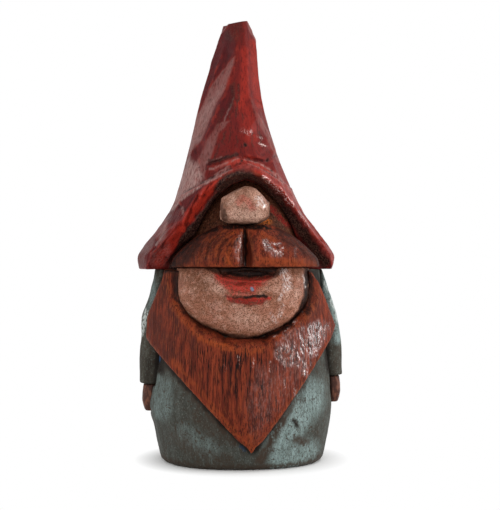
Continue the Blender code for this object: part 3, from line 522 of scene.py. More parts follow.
def blue_grey_paint(name, ground, light, dark):
    """Matt blue-grey oil paint, rubbed through and washed brown: scuffs and the grain show."""
    paint = Finish(name, ground, roughness=0.6, gloss=0.08)
    # Thin and thick paint, and paler places that are partly painted light, on the side and the
    # shoulders that face the lamps
    paint.coat(light, size=1.6, grain=3, low=0.44, high=0.66, amount=0.6, detail=5)
    paint.coat(dark, size=5, grain=1.5, low=0.48, high=0.68, amount=0.6, seed=2)
    paint.coat("#748481", mask="light", size=3, grain=2, low=0.15, high=0.5, amount=0.9, seed=3)
    paint.coat("#8a9d9c", mask="light", size=1.2, grain=5, low=0.45, high=0.6, amount=0.5, seed=13)
    # Grit of pigment and wash, about 0.1 mm, drawn 0.5 mm wide so that it shows
    paint.coat("#35302a", size=0.5, grain=1.5, low=0.50, high=0.62, amount=0.7, seed=6, detail=4)
    paint.coat("#6b716b", size=0.5, grain=1.5, low=0.54, high=0.66, amount=0.5, seed=16, detail=4)
    # Wash and dirt, painted shade beside the beard and along the sleeves, specks of a stronger blue,
    # and pale painted highlights along the sleeves' outer edges
    paint.coat("#3a2f26", size=1.6, low=0.58, high=0.66, amount=0.8, seed=11)
    paint.coat("#2e251c", mask="hollow", size=1.4, low=0.3, high=0.6, amount=0.7, seed=5)
    paint.coat("#3a3028", mask="brown", size=1.2, grain=2, low=0.28, high=0.55, seed=7)
    paint.coat("#1a1410", mask="dirt_and_shade", size=1.0, low=0.2, high=0.5, seed=8)
    paint.coat("#1f4468", mask="blue", size=1.0, low=0.3, high=0.5, seed=9)
    paint.coat("#b4bab6", mask="edge_highlight", size=0.8, grain=2, low=0.40, high=0.56, seed=10)
    paint.coat("#17120e", mask="seam")
    paint.relief(0.14, size=1.0, grain=3, detail=5)
    paint.relief(0.14, size=0.5, seed=4)
    return paint.done()


def hand_paint():
    """Flesh paint under so much brown wash that little of it shows."""
    paint = Finish("washed_flesh_paint", "#432922", roughness=0.5, gloss=0.1)
    paint.coat("#764b3b", size=1.2, grain=3, low=0.42, high=0.66, amount=0.9)
    paint.coat("#24140e", mask="hollow", amount=0.9)
    paint.coat("#1c110d", mask="seam")
    paint.relief(0.12, size=0.8, grain=3, seed=3)
    return paint.done()


def recess_wash():
    """Almost black brown wash, thick and uneven, behind the nose."""
    paint = Finish("dark_brown_wash", "#452418", roughness=0.6, gloss=0.05)
    paint.coat("#4a2a1a", size=1.4, low=0.48, high=0.62, amount=0.8)
    # A painted orange highlight beside the nose, and red that ran in from the hat
    paint.coat("#a2541f", mask="warm_and_highlight", size=0.9, low=0.35, high=0.55, seed=3)
    paint.coat("#6e1512", mask="red", size=1.4, low=0.25, high=0.55, seed=5)
    # Crumbs of wash and dust
    paint.coat("#120806", size=0.6, low=0.50, high=0.60, amount=0.9, seed=8)
    paint.coat("#6e4a38", size=0.7, low=0.56, high=0.64, amount=0.6, seed=18)
    paint.relief(0.3, size=1.2, seed=3)
    return paint.done()


def bare_beech():
    """Turned beech, left bare for the glue: its rays show as short darker flecks."""
    paint = Finish("bare_turned_beech", "#c9a878", roughness=0.65, gloss=0.3)
    paint.coat("#a5804f", size=0.6, grain=6, low=0.55, high=0.65, amount=0.7)
    paint.relief(0.05, size=0.6, grain=6)
    return paint.done()


# Pieces
#
# Paths and outlines are X and Z, measured in the photograph. A stroke is a strength (a depth where
# it is cut), a width and a path. A patch is a strength, the width of its edge and an outline. A flat
# cut is its centre, the way it faces and its reach. A knot of the hat's facets is X, Y and Z, and a
# ridge runs between two of them.

HAT_KNOTS = (
    (-5.8, -4.7, 181), (-1.6, -6.7, 181), (0.3, -6.9, 181), (2.4, -5.8, 181),
    (-6.2, -4.7, 177.4), (-1.8, -7.0, 177.5), (0.4, -7.2, 177.1), (2.6, -5.9, 176.8),
    (-9.0, -3.0, 172.3), (-2.5, -8.7, 169.4), (1.0, -8.3, 170.8), (5.5, -4.2, 170.7),
    (-12.4, -1.6, 163.8), (-2.6, -10.0, 165.2), (1.7, -9.6, 164.3), (6.2, -5.4, 164.0),
    (-7.4, -7.9, 159.0), (-4.7, -11.8, 157.7), (-11.9, -6.0, 153.5), (-14.5, -3.4, 155.0),
    (-7.6, -13.8, 148.4), (-3.1, -13.3, 153.1), (1.9, -13.3, 148.6), (6.4, -6.2, 157.1),
    (-15.8, -4.0, 147.3), (-12.2, -16.0, 138.0), (-4.3, -15.8, 144.8), (7.7, -7.5, 144.6),
    (-18.9, -3.0, 138.8), (-15.5, -16.2, 130.7), (-5.0, -17.0, 140.1), (6.0, -14.4, 139.6),
    (-20.6, -3.0, 132.4), (-19.2, -13.5, 126.6), (-10.1, -18.9, 131.0), (10.7, -11.8, 130.9),
    (10.7, -7.6, 134.4), (-12.3, -19.6, 125.3), (1.1, -18.2, 132.5), (13.2, -10.4, 126.6),
    (13.8, -8.6, 124.1), (-16.6, -19.0, 119.0), (-13.5, -20.1, 120.4), (-9.1, -20.8, 121.6),
    (-4.5, -21.4, 122.4), (0.0, -21.3, 122.8), (5.3, -19.6, 122.2), (10.3, -17.0, 121.0),
)
HAT_RIDGES = (
    (1, 5), (5, 9), (9, 13), (13, 17), (17, 20), (20, 25), (25, 29), (29, 33),
    (13, 16), (16, 18), (18, 24), (13, 21), (21, 26), (26, 30), (30, 34), (34, 37), (37, 42),
    (2, 6), (6, 10), (10, 14), (14, 22), (22, 31), (31, 35), (35, 39),
    (41, 42), (42, 43), (43, 44), (44, 45), (45, 46), (46, 47),
)
HAT_TIP_CUTS = (
    ((0, -2, 179), (-0.16, -0.1, 1), 14),
    ((-6.6, -3, 176.6), (-0.82, -0.1, 0.57), 4),
)
HAT_FACETS_END = 125  # under this, knife strokes fall at random on the front too
HAT_HOLLOWS = (
    (0.4, 4.0, ((-20.5, 106.5), (-25.5, 100.5))),
    (0.4, 3.5, ((-29, 98), (-31.5, 92))),
    (0.3, 3.5, ((-37, 88), (-39.5, 82))),
    (0.5, 3.5, ((19, 109), (24, 101))),
    (0.5, 3.5, ((27, 98), (31, 91))),
    (0.5, 3.5, ((33, 90), (37, 83))),
    (0.2, 1.8, ((-13.7, 120.3), (-9.1, 121.5), (-5.2, 122.2), (-1.6, 123.3))),
    (0.2, 0.8, ((-15, 117.5), (-9, 119.7), (-3, 120.5))),
    (0.2, 0.8, ((-14, 115.5), (-8, 118.2), (-2, 119))),
    (0.2, 0.8, ((1, 120.6), (6, 119.8), (11, 117))),
    (0.2, 0.8, ((2, 118.6), (7, 117.4), (12, 113.8))),
    (0.6, 0.8, ((9.0, 121.5), (9.0, 121.3))),
    (0.5, 0.8, ((0.1, 127.3), (0.1, 127))),
    (0.4, 0.7, ((-1.7, 121), (-1.7, 120.9))),
)
HAT_FLATS = (
    ((-7, 115.4), (-10.3, 113.9), (-14.1, 111.1), (-18.8, 107.4), (-14.8, 103.8), (-11.4, 108.6)),
    ((-18.8, 107.4), (-21.5, 103.8), (-25.6, 97.3), (-22.5, 93.6), (-18.6, 98.8), (-14.8, 103.8)),
    ((-25.6, 97.3), (-29, 94.4), (-31, 89.9), (-33.4, 86.5), (-29.4, 81.6), (-25.6, 88.8),
     (-22.5, 93.6)),
    ((-33.4, 86.5), (-37.3, 84.6), (-37.3, 78), (-31, 78), (-29.4, 81.6)),
    ((-14.1, 111.1), (-17.9, 110.6), (-22.1, 108.1), (-26.5, 104.6), (-23.6, 100.7), (-21.5, 103.8),
     (-18.8, 107.4)),
    ((-26.5, 104.6), (-30.2, 100.6), (-29, 94.4), (-25.6, 97.3), (-23.6, 100.7)),
    ((-30.2, 100.6), (-34, 97), (-35.4, 91.6), (-35.4, 86.6), (-33.4, 86.5), (-31, 89.9),
     (-29, 94.4)),
    ((-35.4, 86.6), (-35.4, 91.6), (-39.5, 91), (-40.5, 85), (-37.3, 84.6)),
)
# Painted shade: darker red glaze on the facets that turn from the light
HAT_SHADED_FACETS = (
    (1.0, 1.2, ((-6, 175), (-2.7, 168.9), (-4.3, 164), (-8.9, 157.8), (-13.5, 151.8), (-16.5, 145.5),
                (-21, 147), (-16, 160), (-12, 170), (-9, 175))),
    (1.0, 1.0, ((-4.2, 151.2), (-3.5, 147), (-5.1, 141.6), (-7.2, 136.9), (-10.7, 136),
                (-15.6, 129.1), (-16.5, 129.5), (-14.1, 136.2), (-11.7, 142.9), (-9.1, 147),
                (-7, 151.3))),
    (0.8, 0.8, ((-17.9, 129.2), (-16.1, 126.3), (-17.6, 122.8), (-20.5, 119.1), (-25, 117.8),
                (-25, 122.9), (-21.3, 124.1))),
    (1.0, 0.8, ((-14.1, 111.1), (-17.9, 110.6), (-22.1, 108.1), (-25.7, 105.4), (-32, 100),
                (-30.2, 95.5), (-25.6, 97.3), (-23.6, 100.7), (-21.5, 103.8), (-18.8, 107.4))),
    (0.9, 1.0, ((-44, 92), (-35.4, 91.2), (-33.4, 87), (-37.3, 84.6), (-37.3, 77), (-44, 77))),
    (0.9, 1.2, ((13, 107), (19.1, 101), (26.2, 92), (34, 83), (36, 78), (30, 78), (18, 98))),
)
# Painted sheen: grey-pink on the facets that would gleam, where the glaze has also bloomed
HAT_BLOOM_AND_SHEEN = (
    (1.0, 0.7, ((-3.3, 163.7), (-4.1, 159.8), (-5.1, 156.5), (-7, 151.3), (-9.1, 147), (-11.7, 142.9),
                (-14.1, 136.2), (-17, 129.3), (-21.7, 124.2), (-27, 124), (-24, 132), (-20, 140),
                (-17.1, 142.5), (-13.5, 151), (-9.7, 156.3), (-4.8, 162.4))),
    (0.8, 1.0, ((-5.8, 136.9), (-10.1, 131.8), (-11.9, 126.6), (-13.7, 121.1), (-16.7, 121.2),
                (-15.3, 128.2), (-10.7, 136))),
    (0.9, 0.8, ((-11.2, 129.2), (-13.2, 124.2), (-14.7, 119.6), (-15.7, 115.6), (-16.9, 112.7),
                (-20.6, 109.8), (-23.6, 107.7), (-26.4, 105.6), (-31, 104), (-29, 110), (-27, 117),
                (-20.5, 119.1), (-17.6, 122.8), (-15.6, 126.8), (-13.6, 129.2))),
    (0.6, 0.8, ((2.8, 147.3), (5.3, 141.1), (8.6, 136.3), (11.5, 131), (14.5, 125), (16, 121),
                (13.4, 121), (9.4, 130.9), (5.7, 136.3), (3.2, 143.1))),
    (0.9, 0.5, ((1.7, 178.5), (2.4, 175.5), (3.7, 173.7), (6, 170), (6, 176))),
    (0.75, 1.2, ((-30.4, 98.8), (-30.4, 95), (-31, 90.5), (-33.2, 87.2), (-34, 90), (-33.4, 97))),
)
# Painted sheen: pale grey-pink along the ridges and the edges of the opening
HAT_SHEEN_STREAKS = (
    (1.0, 1.2, ((-28.6, 102.1), (-25.7, 105.4), (-17.9, 110.8), (-11.1, 114.2), (-6.2, 116.6))),
    (0.5, 0.7, ((-13.7, 117.5), (-8, 119.3), (-3, 121.5))),
    (0.4, 0.6, ((-15, 120), (-9.5, 122.3))),
    (0.5, 0.7, ((-12, 114.9), (-9, 116.6), (-6, 118.6))),
    (0.35, 0.5, ((-4.4, 146), (-6.5, 140), (-8.5, 136))),
    (0.7, 0.6, ((0, 121.2), (5, 120.2), (10, 117.6), (14, 113.6))),
    (0.6, 0.6, ((1, 119.2), (6, 118), (11, 115), (15, 111.4))),
    (0.6, 0.6, ((13, 116), (18, 110.5), (23, 104))),
    (0.6, 0.6, ((20, 107), (25, 100.5), (30, 93.5))),
    (0.5, 0.6, ((8.4, 150), (8.8, 143), (10.5, 136))),
    (0.6, 0.8, ((-31, 96), (-32.8, 91), (-35, 87.4))),
    (0.5, 0.8, ((-24.6, 102.4), (-24.4, 99.6))),
)
# Painted sheen over whole facets of the brim and the flank
HAT_SHEEN_PATCHES = (
    (0.95, 3.0, ((-31, 103), (-25, 106), (-19, 110.5), (-16.5, 114), (-18.5, 119), (-22, 123),
                 (-29, 124), (-30, 111))),
    (0.45, 3.0, ((-8, 152), (-13, 140), (-17.5, 130), (-24, 126), (-22, 134), (-16, 143))),
    (0.2, 1.0, ((-41, 92), (-36, 91), (-36.5, 86), (-38.6, 84), (-38.6, 79), (-43, 79))),
    (0.2, 2.0, ((-33, 87), (-30, 89), (-28.6, 84), (-31, 79), (-37, 79), (-37, 84))),
    (0.15, 1.5, ((5.3, 141.1), (8.6, 136.3), (14.5, 125), (16, 121), (14, 121), (8, 133))),
)
# Painted highlight: paler red along the crest over the opening and down the ridge on its left
HAT_LIT_CREST = (
    (1.0, 3.8, ((-6, 119.2), (-2, 119.6), (4, 118.5), (10, 115.5), (15, 111))),
    (0.8, 4.0, ((15, 110.5), (20, 105), (25, 98), (31, 90), (36, 83))),
    (0.6, 2.5, ((-11, 118), (-5, 119.6))),
)
# Dirt in streaks, along the crease and in pits, and painted shade inside the opening and at the tip
HAT_DIRT_AND_SHADE = (
    (0.4, 1.6, ((-4.0, 152), (-4.2, 147), (-5.5, 143.5))),
    (0.3, 1.6, ((-8.3, 141.5), (-11.2, 134.1))),
    (0.7, 1.0, ((-13.7, 120.6), (-10.8, 121), (-6.9, 122.4), (-3, 123.6))),
    (1.0, 0.8, ((9.0, 121.5), (9.0, 121.3))),
    (1.0, 0.8, ((0.1, 127.3), (0.1, 127))),
    (1.0, 0.7, ((-1.7, 121), (-1.7, 120.9))),
    (0.4, 5.0, ((-2, 181), (-4, 173))),
    (1.0, 2.4, ((-11.2, 109.8), (-8.4, 112.2), (-5.5, 114.2), (-2.7, 114.8), (1.0, 114.7))),
    (1.0, 2.4, ((1.0, 114.5), (3.4, 112.8), (6.6, 110.8), (10.9, 106.8))),
    (1.0, 2.6, ((-9.6, 108.5), (-6.5, 111.4), (-2, 113), (2, 112.8), (6, 110.4), (10, 106.4))),
    (1.0, 2.8, ((11, 107.2), (14.8, 103.2), (18.8, 98.3), (22.8, 93.3), (28.2, 86.5), (33, 80.5))),
)
# Painted shade on the inner side of the opening's right leg
HAT_SHADED_INNER_EDGE = (
    (1.0, 1.0, ((-8, 113.2), (-12.2, 107.6), (-14.8, 104.0), (-18.6, 99.2), (-22.5, 94.4),
                (-25.6, 89.2), (-29.2, 82), (-30.5, 77), (-25, 77), (-24, 84), (-20, 90),
                (-14, 97), (-9, 104), (-5, 108))),
)
HAT_CRACKS = (
    (0.6, 0.6, ((-2, 152), (-2.3, 145), (-3.4, 139))),
    (0.5, 0.5, ((-3.4, 149), (-4.4, 143), (-6, 138))),
    (0.5, 0.5, ((-5, 134), (-6.4, 128))),
    (0.5, 0.5, ((-3, 131), (-3.4, 126))),
    (0.5, 0.5, ((3, 132), (3.2, 127))),
    (0.5, 0.5, ((6.5, 133), (6.9, 128))),
    (0.5, 0.5, ((-7.5, 133), (-8.5, 128))),
    (0.4, 0.5, ((-1, 142), (-0.6, 136))),
    (0.5, 0.6, ((-12, 121.5), (-10, 127))),
)
HAT_BROWN = (
    (0.6, 0.7, ((2, 115.9), (4.2, 115), (6.9, 112.9), (9, 111))),
)
# Glaze worn bright red, partly painted light: down the front, on the bevel at the right of the
# opening, and along its crest and left ridge
HAT_WORN_AND_LIT = (
    (0.4, 2.6, ((0.6, 166), (0.7, 156.2), (0.2, 147.8), (-1.5, 143.5))),
    (0.35, 2.6, ((4.5, 170), (5.2, 160), (5.4, 150), (6.5, 144))),
    (0.3, 5.0, ((0.5, 141), (2, 131))),
    (1.0, 3.0, ((-8, 114), (-12.3, 110.8), (-16, 106.6), (-19, 102.4), (-22, 98), (-24.6, 94))),
    (0.65, 3.4, ((-26.6, 91.5), (-30, 86.5), (-33.5, 81))),
    (0.6, 2.2, ((-6, 119.4), (-1, 120.4), (2.5, 121.2))),
    (0.5, 1.8, ((4, 119.3), (9, 117.3))),
    (0.6, 0.8, ((3.6, 116), (8, 113.5), (10.9, 111.7), (16.2, 107.3), (19.6, 103.9))),
)
# Painted highlights: pale glints, over varnish and bumps
HAT_SPARKLE = (
    (0.9, 1.1, ((6.6, 113.8), (11, 110.7), (15.2, 107.4), (19.1, 103.6))),
    (0.5, 1.0, ((21.6, 100.7), (25.8, 95))),
    (0.8, 0.6, ((5.6, 130.9), (7.6, 130.2))),
    (1.0, 0.7, ((5.8, 128.2), (7.2, 127.5), (8.8, 127.2))),
    (0.35, 1.6, ((-0.6, 133), (2.0, 132))),
)


def carve_hat(material):
    """The crown's long facets, its sawn tip, the flats round the opening, and a worn glaze
    with painted sheen, highlights and shade.
    """
    hat = Carving("hat", voxel=0.5)
    hat.facets(HAT_KNOTS, HAT_RIDGES, slack=1.8)
    beside_facets = (hat.points[:, 1] > 0) | (hat.points[:, 2] < HAT_FACETS_END * MM)
    upright = np.abs(hat.facing[:, 2]) < 0.7
    hat.whittle(cuts=90, length=9, width=3.2, depth=0.35, allowed=beside_facets & upright)
    for tip_cut in HAT_TIP_CUTS:
        hat.pare(*tip_cut)
    hat.cut(HAT_HOLLOWS)
    hat.flatten(HAT_FLATS, slack=0.9)
    hat.roughen(0.05, size=1.2, stretch=8)
    hat.roughen(0.06, size=3.0, stretch=2, shift=5)
    hat.brush("sparkle", HAT_SPARKLE)
    hat.roughen(0.24, size=0.8, mask="sparkle")
    hat.wear(("head_block", "moustache", "nose"), deep=0.14)
    hat.brush("shaded_crimson", patches=HAT_SHADED_FACETS, wobble=0.3)
    hat.brush("dirt_and_shade", HAT_DIRT_AND_SHADE + HAT_CRACKS, HAT_SHADED_INNER_EDGE)
    hat.brush("painted_sheen", HAT_SHEEN_STREAKS, HAT_SHEEN_PATCHES, wobble=0.4)
    hat.brush("pale", HAT_LIT_CREST)
    hat.brush("brown", HAT_BROWN)
    hat.brush("rubbed", HAT_WORN_AND_LIT)
    hat.brush("bloom_and_sheen", patches=HAT_BLOOM_AND_SHEEN, wobble=0.3)
    hat.hand_over(material)


# The seam of chin and beard, on both of them
CHIN_SEAM = (
    (0.8, 1.1, ((-27.4, 74), (-27.2, 67), (-23.7, 61.2), (-17.8, 56.4), (-8.4, 52.9), (2.3, 51.8))),
    (1.0, 1.3, ((2.3, 51.7), (6.8, 52.2), (11.6, 53.7), (17.1, 57.2), (21.4, 62.1))),
    (1.0, 1.9, ((21.4, 62.1), (23.5, 67.5), (23.8, 73), (24.2, 77.5))),
)

BEARD_TOP_CUT = ((30.3, -15, 69.8), (0.915, 0, 0.404), 20)
BEARD_EASED = (
    (1.0, 5.5, ((-22, 56), (-12, 49.5), (-6, 48), (0, 47.6), (6, 48), (12, 50), (22, 56))),
)
# Painted shade under the brim and beside the top of the face
BEARD_SHADE_UNDER_BRIM = (
    (1.0, 2.2, ((-38, 77.8), (-26, 77.8))),
    (1.0, 2.2, ((26, 77.8), (38, 77.8))),
    (0.8, 1.8, ((-27.5, 77), (-27.6, 68))),
    (0.9, 1.7, ((25.6, 77), (25.6, 68), (23.8, 61))),
)
# Orange stain that is partly a painted highlight: under the chin, down its right edge and at the tip
BEARD_WARM_AND_HIGHLIGHT = (
    (0.7, 1.5, ((-27.4, 66), (-26.6, 62.5), (-24.2, 57.8), (-20.6, 54), (-16, 51))),
    (1.0, 1.9, ((-18, 52), (-16, 50.8), (-10.5, 48.8), (-5.9, 47.6))),
    (0.7, 1.6, ((-5, 47), (0, 46.6), (5.6, 47.2))),
    (0.6, 2.0, ((-29, 44), (-26, 40))),
    (0.5, 1.0, ((-29.1, 43.6), (-19.2, 33), (-4.7, 16.2), (1.1, 10.2))),
    (0.5, 3.0, ((1.5, 14), (1.5, 9))),
)
# Duller stain that is partly painted shade, most on the beard's right side
BEARD_DULL_AND_SHADE = (
    (1.0, 7.0, ((-36, 58), (-33, 50), (-30, 46))),
    (0.7, 5.0, ((-33, 70), (-35, 60))),
    (0.6, 4.5, ((26, 71), (27.5, 64), (24, 57))),
    (0.8, 3.6, ((-29.5, 61), (-25, 54), (-19.5, 49))),
)
BEARD_PORES = (
    (1.0, 9.0, ((-17, 44), (-8, 43), (3, 43))),
    (0.9, 8.0, ((-12, 34), (3, 32))),
    (0.7, 7.0, ((-26, 46), (10, 24), (1, 18))),
    (1.0, 6.0, ((15, 45), (21, 49), (29, 54))),
)
# Shellac that gleams, with a pale painted highlight on it
BEARD_VARNISH_AND_HIGHLIGHT = (
    (1.0, 3.0, ((12, 46), (14, 43), (18.5, 44), (22.0, 47.5))),
    (1.0, 2.6, ((12.6, 47.6), (17, 48.6))),
    (0.6, 3.4, ((24.5, 51.4), (28, 49.4), (30, 51.4))),
    (0.7, 1.6, ((20, 53), (24, 54.8), (28, 55.6), (32.4, 55.8))),
    (1.0, 2.2, ((22.6, 41), (22.6, 37.5))),
    (0.6, 1.0, ((13, 51.5), (18, 54.5))),
)
# Painted highlights: pale glints on the shellac
BEARD_SPARKLE = (
    (1.0, 0.8, ((11.6, 47.5), (11.6, 44))),
    (1.0, 0.8, ((13.4, 49), (13.2, 44.6))),
    (1.0, 0.8, ((15.4, 50), (15.4, 46.4))),
    (1.0, 0.8, ((17.6, 47.4), (17.4, 43.6))),
    (1.0, 0.8, ((14.4, 43.4), (14.4, 41))),
    (0.8, 0.8, ((23.6, 52.6), (23.2, 49))),
    (0.8, 0.8, ((26, 53.4), (25.4, 50))),
    (0.8, 0.8, ((28.6, 52), (28, 48.6))),
    (0.8, 0.8, ((30.4, 54.6), (30.8, 52))),
    (1.0, 0.8, ((22.4, 41.6), (22.2, 38))),
    (0.7, 0.5, ((-3.7, 45), (-3.7, 42))),
    (0.7, 0.5, ((2.1, 44), (2.1, 41))),
    (0.6, 0.5, ((8.5, 43.5), (8.5, 39))),
    (0.5, 0.5, ((-8.6, 42), (-8.6, 39.4))),
    (0.5, 0.5, ((18.4, 32), (18.4, 29))),
    (0.5, 0.5, ((14.6, 35.4), (14.6, 33))),
)
# Painted sheen: a pale sheen over the shellac
BEARD_SHEEN = (
    (0.65, 3.0, ((19.4, 56), (31.6, 57.6), (33.4, 53.6), (26.7, 44.5), (20.5, 39.7), (13.3, 42.1),
                 (10.9, 49.2))),
    (0.3, 8.0, ((4, 40), (14, 42), (24, 42), (17, 31), (9, 20), (3, 13), (0, 26))),
)
# Painted highlights: pale glints in the seam under the chin
BEARD_CHIN_GLINTS = (
    (0.9, 0.7, ((18.2, 57.2), (19.3, 58.4))),
    (0.8, 0.7, ((14.2, 54.2), (16.8, 56))),
    (0.7, 0.7, ((21.4, 60.6), (22, 61.4))),
    (0.7, 0.6, ((10.2, 52.2), (11.4, 52.7))),
)


def carve_beard(material):
    """Eased over the chin and closed up against it, with open pores and pooled shellac,
    and with painted highlights and shade.
    """
    beard = Carving("beard", voxel=0.5)
    beard.build_up()
    beard.pare(*BEARD_TOP_CUT)
    beard.widen(centre=1.6, height=7.4, reach=5, share=-0.6)
    beard.close_up("face", gap=0.15, reach=3.8)
    beard.ease(BEARD_EASED, rounds=24)
    beard.sand(rounds=2)
    beard.roughen(0.10, size=0.9, stretch=12)
    beard.roughen(0.12, size=4, stretch=3, shift=5)
    beard.brush("gloss", BEARD_VARNISH_AND_HIGHLIGHT, BEARD_SHEEN, wobble=1.6)
    coarse_lumps = clouds(beard.points, size=1.3, stretch=1.5)
    fine_lumps = clouds(beard.points, size=0.8, stretch=1.5, shift=4)
    beard.push(0.34 * MM * (coarse_lumps + fine_lumps) * beard.masks["gloss"])
    beard.wear(("face", "robe_block"), deep=0.14, seam=0.45)
    beard.brush("sparkle", BEARD_SPARKLE + BEARD_CHIN_GLINTS, wobble=0.5)
    beard.brush("warm_and_highlight", BEARD_WARM_AND_HIGHLIGHT)
    beard.brush("dull_and_shade", BEARD_DULL_AND_SHADE)
    beard.brush("pores", BEARD_PORES)
    beard.brush("dirt_and_shade", BEARD_SHADE_UNDER_BRIM)
    beard.brush("dirt_and_shade", CHIN_SEAM, wobble=0.5)
    beard.hand_over(material)


MOUSTACHE_GROOVES = (
    (0.2, 0.7, ((-3.6, 90), (-6, 87.4), (-7.4, 84), (-8, 80.5))),
    (0.25, 0.7, ((-4.5, 91.6), (-8, 89.6), (-10.4, 86), (-11.4, 81))),
    (0.2, 0.7, ((-5.5, 92.6), (-9.6, 90.6), (-12.4, 87.4), (-13.6, 81))),
    (0.25, 0.7, ((-7, 93.2), (-11.6, 91.2), (-14.6, 87.8), (-16, 82))),
    (0.2, 0.7, ((-9, 93.4), (-13.6, 91), (-17, 87), (-18.6, 81.4))),
    (0.2, 0.7, ((-12, 93), (-17, 89.6), (-20, 85.6), (-21, 81.4))),
    (0.2, 0.7, ((-15.5, 91.6), (-20.5, 87.4), (-23.5, 82.5))),
    (0.1, 0.7, ((5, 92), (7, 87), (7.5, 81))),
    (0.1, 0.7, ((12, 91.5), (15.5, 86.5), (16.5, 81))),
    (0.1, 0.7, ((18, 89.5), (21.5, 84.5), (22.5, 81))),
)
# Orange stain that is partly a painted highlight: along the hairs, and on the left lobe by the nose
MOUSTACHE_WARM_AND_HIGHLIGHT = (
    (1.0, 1.2, ((-6.8, 86), (-7.6, 83.4), (-7.8, 80.5))),
    (1.0, 0.7, ((-6, 92.2), (-9, 90.4), (-11.2, 87.4), (-12.4, 83))),
    (1.0, 0.7, ((-8.4, 92.8), (-12, 90.6), (-14.4, 87), (-15.4, 83))),
    (0.8, 0.7, ((-11, 92.2), (-15, 89.4), (-17.4, 85.6), (-18.4, 82))),
    (0.6, 0.7, ((-14.6, 91), (-18.4, 87.4), (-20.6, 83.6))),
    (0.6, 0.6, ((-4.6, 89.8), (-6, 87.6))),
    (0.6, 2.2, ((5, 81.5), (12, 80.6), (24, 80.4))),
    (0.5, 2.0, ((6, 91), (10, 89))),
    (1.0, 1.4, ((5.6, 94.6), (8.6, 93.8))),
    (0.5, 1.0, ((22, 87), (26, 82.5))),
)
# Painted shade under the nose, along the hat's edge, down the parting and in the grooves
MOUSTACHE_SHADE = (
    (1.0, 2.6, ((-12, 94.4), (-18, 91.8), (-22.6, 87.8), (-27, 83.5), (-29, 80))),
    (0.8, 2.6, ((-26, 81), (-28.4, 80))),
    (1.0, 1.3, ((-9, 94.6), (-3, 94.4), (4, 94.3), (9, 94))),
    (1.0, 0.8, ((-0.5, 93), (-0.4, 80))),
    (0.3, 1.6, ((1, 91), (1, 80))),
    (0.8, 1.8, ((12, 93.6), (18, 91), (23.5, 86.8), (29, 81))),
    (0.5, 0.5, ((-8, 90.6), (-10.6, 87), (-11.6, 82))),
    (0.4, 0.5, ((-10, 92), (-13.6, 89), (-15.4, 84))),
    (0.4, 0.5, ((-13, 92), (-16.8, 88), (-18.6, 83))),
    (0.4, 0.5, ((-5, 90.4), (-7, 87.6), (-8.4, 84.6))),
    (0.8, 3.2, ((-19.6, 88), (-22.4, 84), (-25.6, 80.8))),
    (0.6, 2.0, ((13, 91), (19, 88), (25, 82.6))),
)
MOUSTACHE_HAIRS = (
    (0.9, 0.7, ((-4.6, 92.4), (-8.6, 90.4), (-11.6, 87.2), (-12.6, 84))),
    (0.8, 0.6, ((-3.8, 90.6), (-7, 88.6), (-9.2, 85.6), (-10, 83))),
    (1.0, 1.0, ((-8.2, 84.6), (-7.6, 82), (-6.2, 79.6))),
    (0.7, 0.6, ((-6.8, 93.4), (-11.4, 91.4), (-14.4, 88.2))),
)
# Painted shade along the upper edges, where the hat's rim overhangs
MOUSTACHE_SHADED_RIMS = (
    (1.0, 4.4, ((-30, 79.5), (-27, 85), (-21, 91), (-13, 95.5))),
    (0.8, 3.4, ((13, 95.5), (20, 91), (28, 83.5), (30.5, 79))),
)
# Painted shade of the hat's edge on both ends of the moustache
MOUSTACHE_HAT_SHADOW = (
    (0.95, 9.0, ((-28, 79), (-20, 84), (-13, 90))),
    (0.6, 6.0, ((17, 88), (24, 83), (28, 79))),
)
# Shellac that gleams, with a pale painted highlight on it
MOUSTACHE_VARNISH_AND_HIGHLIGHT = (
    (0.9, 2.4, ((-2.4, 90.5), (-3.8, 86), (-3.0, 82), (-1.6, 80))),
    (1.0, 1.8, ((6.6, 88.6), (8, 86.4), (9.4, 84.4), (12, 84))),
    (0.8, 0.9, ((10, 87.4), (12.6, 87.8))),
    (0.8, 1.0, ((12.6, 85.8), (12.2, 83.6))),
    (0.4, 0.6, ((18.7, 86.6), (18.4, 83))),
    (1.0, 0.8, ((-3.4, 91), (-2.6, 86), (-2.0, 81))),
)
# Painted highlights: pale glints on the shellac
MOUSTACHE_SPARKLE = (
    (1.0, 0.8, ((-3.0, 91), (-2.5, 86), (-2.1, 81))),
    (0.9, 0.9, ((6.4, 88.6), (6.8, 85.6))),
    (1.0, 1.0, ((10.4, 85.4), (11.4, 84))),
    (0.6, 0.5, ((13.4, 86.4), (13.4, 84))),
    (0.6, 0.5, ((8.8, 88.4), (10.4, 88.2))),
)


def carve_moustache(material):
    """Fine grooves fan out from the parting, and shellac gleams beside it with painted highlights."""
    moustache = Carving("moustache", voxel=0.4)
    moustache.cut(MOUSTACHE_GROOVES)
    moustache.roughen(0.10, size=0.9, stretch=6)
    moustache.brush("gloss", MOUSTACHE_VARNISH_AND_HIGHLIGHT)
    moustache.roughen(0.26, size=0.9, mask="gloss")
    moustache.wear(("face", "nose", "hat", "head_block"), deep=0.12, seam=0.5)
    moustache.brush("sparkle", MOUSTACHE_SPARKLE, wobble=0.3)
    moustache.brush("warm_and_highlight", MOUSTACHE_WARM_AND_HIGHLIGHT + MOUSTACHE_HAIRS, wobble=0.4)
    moustache.brush("dull_and_shade", MOUSTACHE_HAT_SHADOW)
    moustache.brush("dirt_and_shade", MOUSTACHE_SHADE + MOUSTACHE_SHADED_RIMS)
    moustache.hand_over(material)


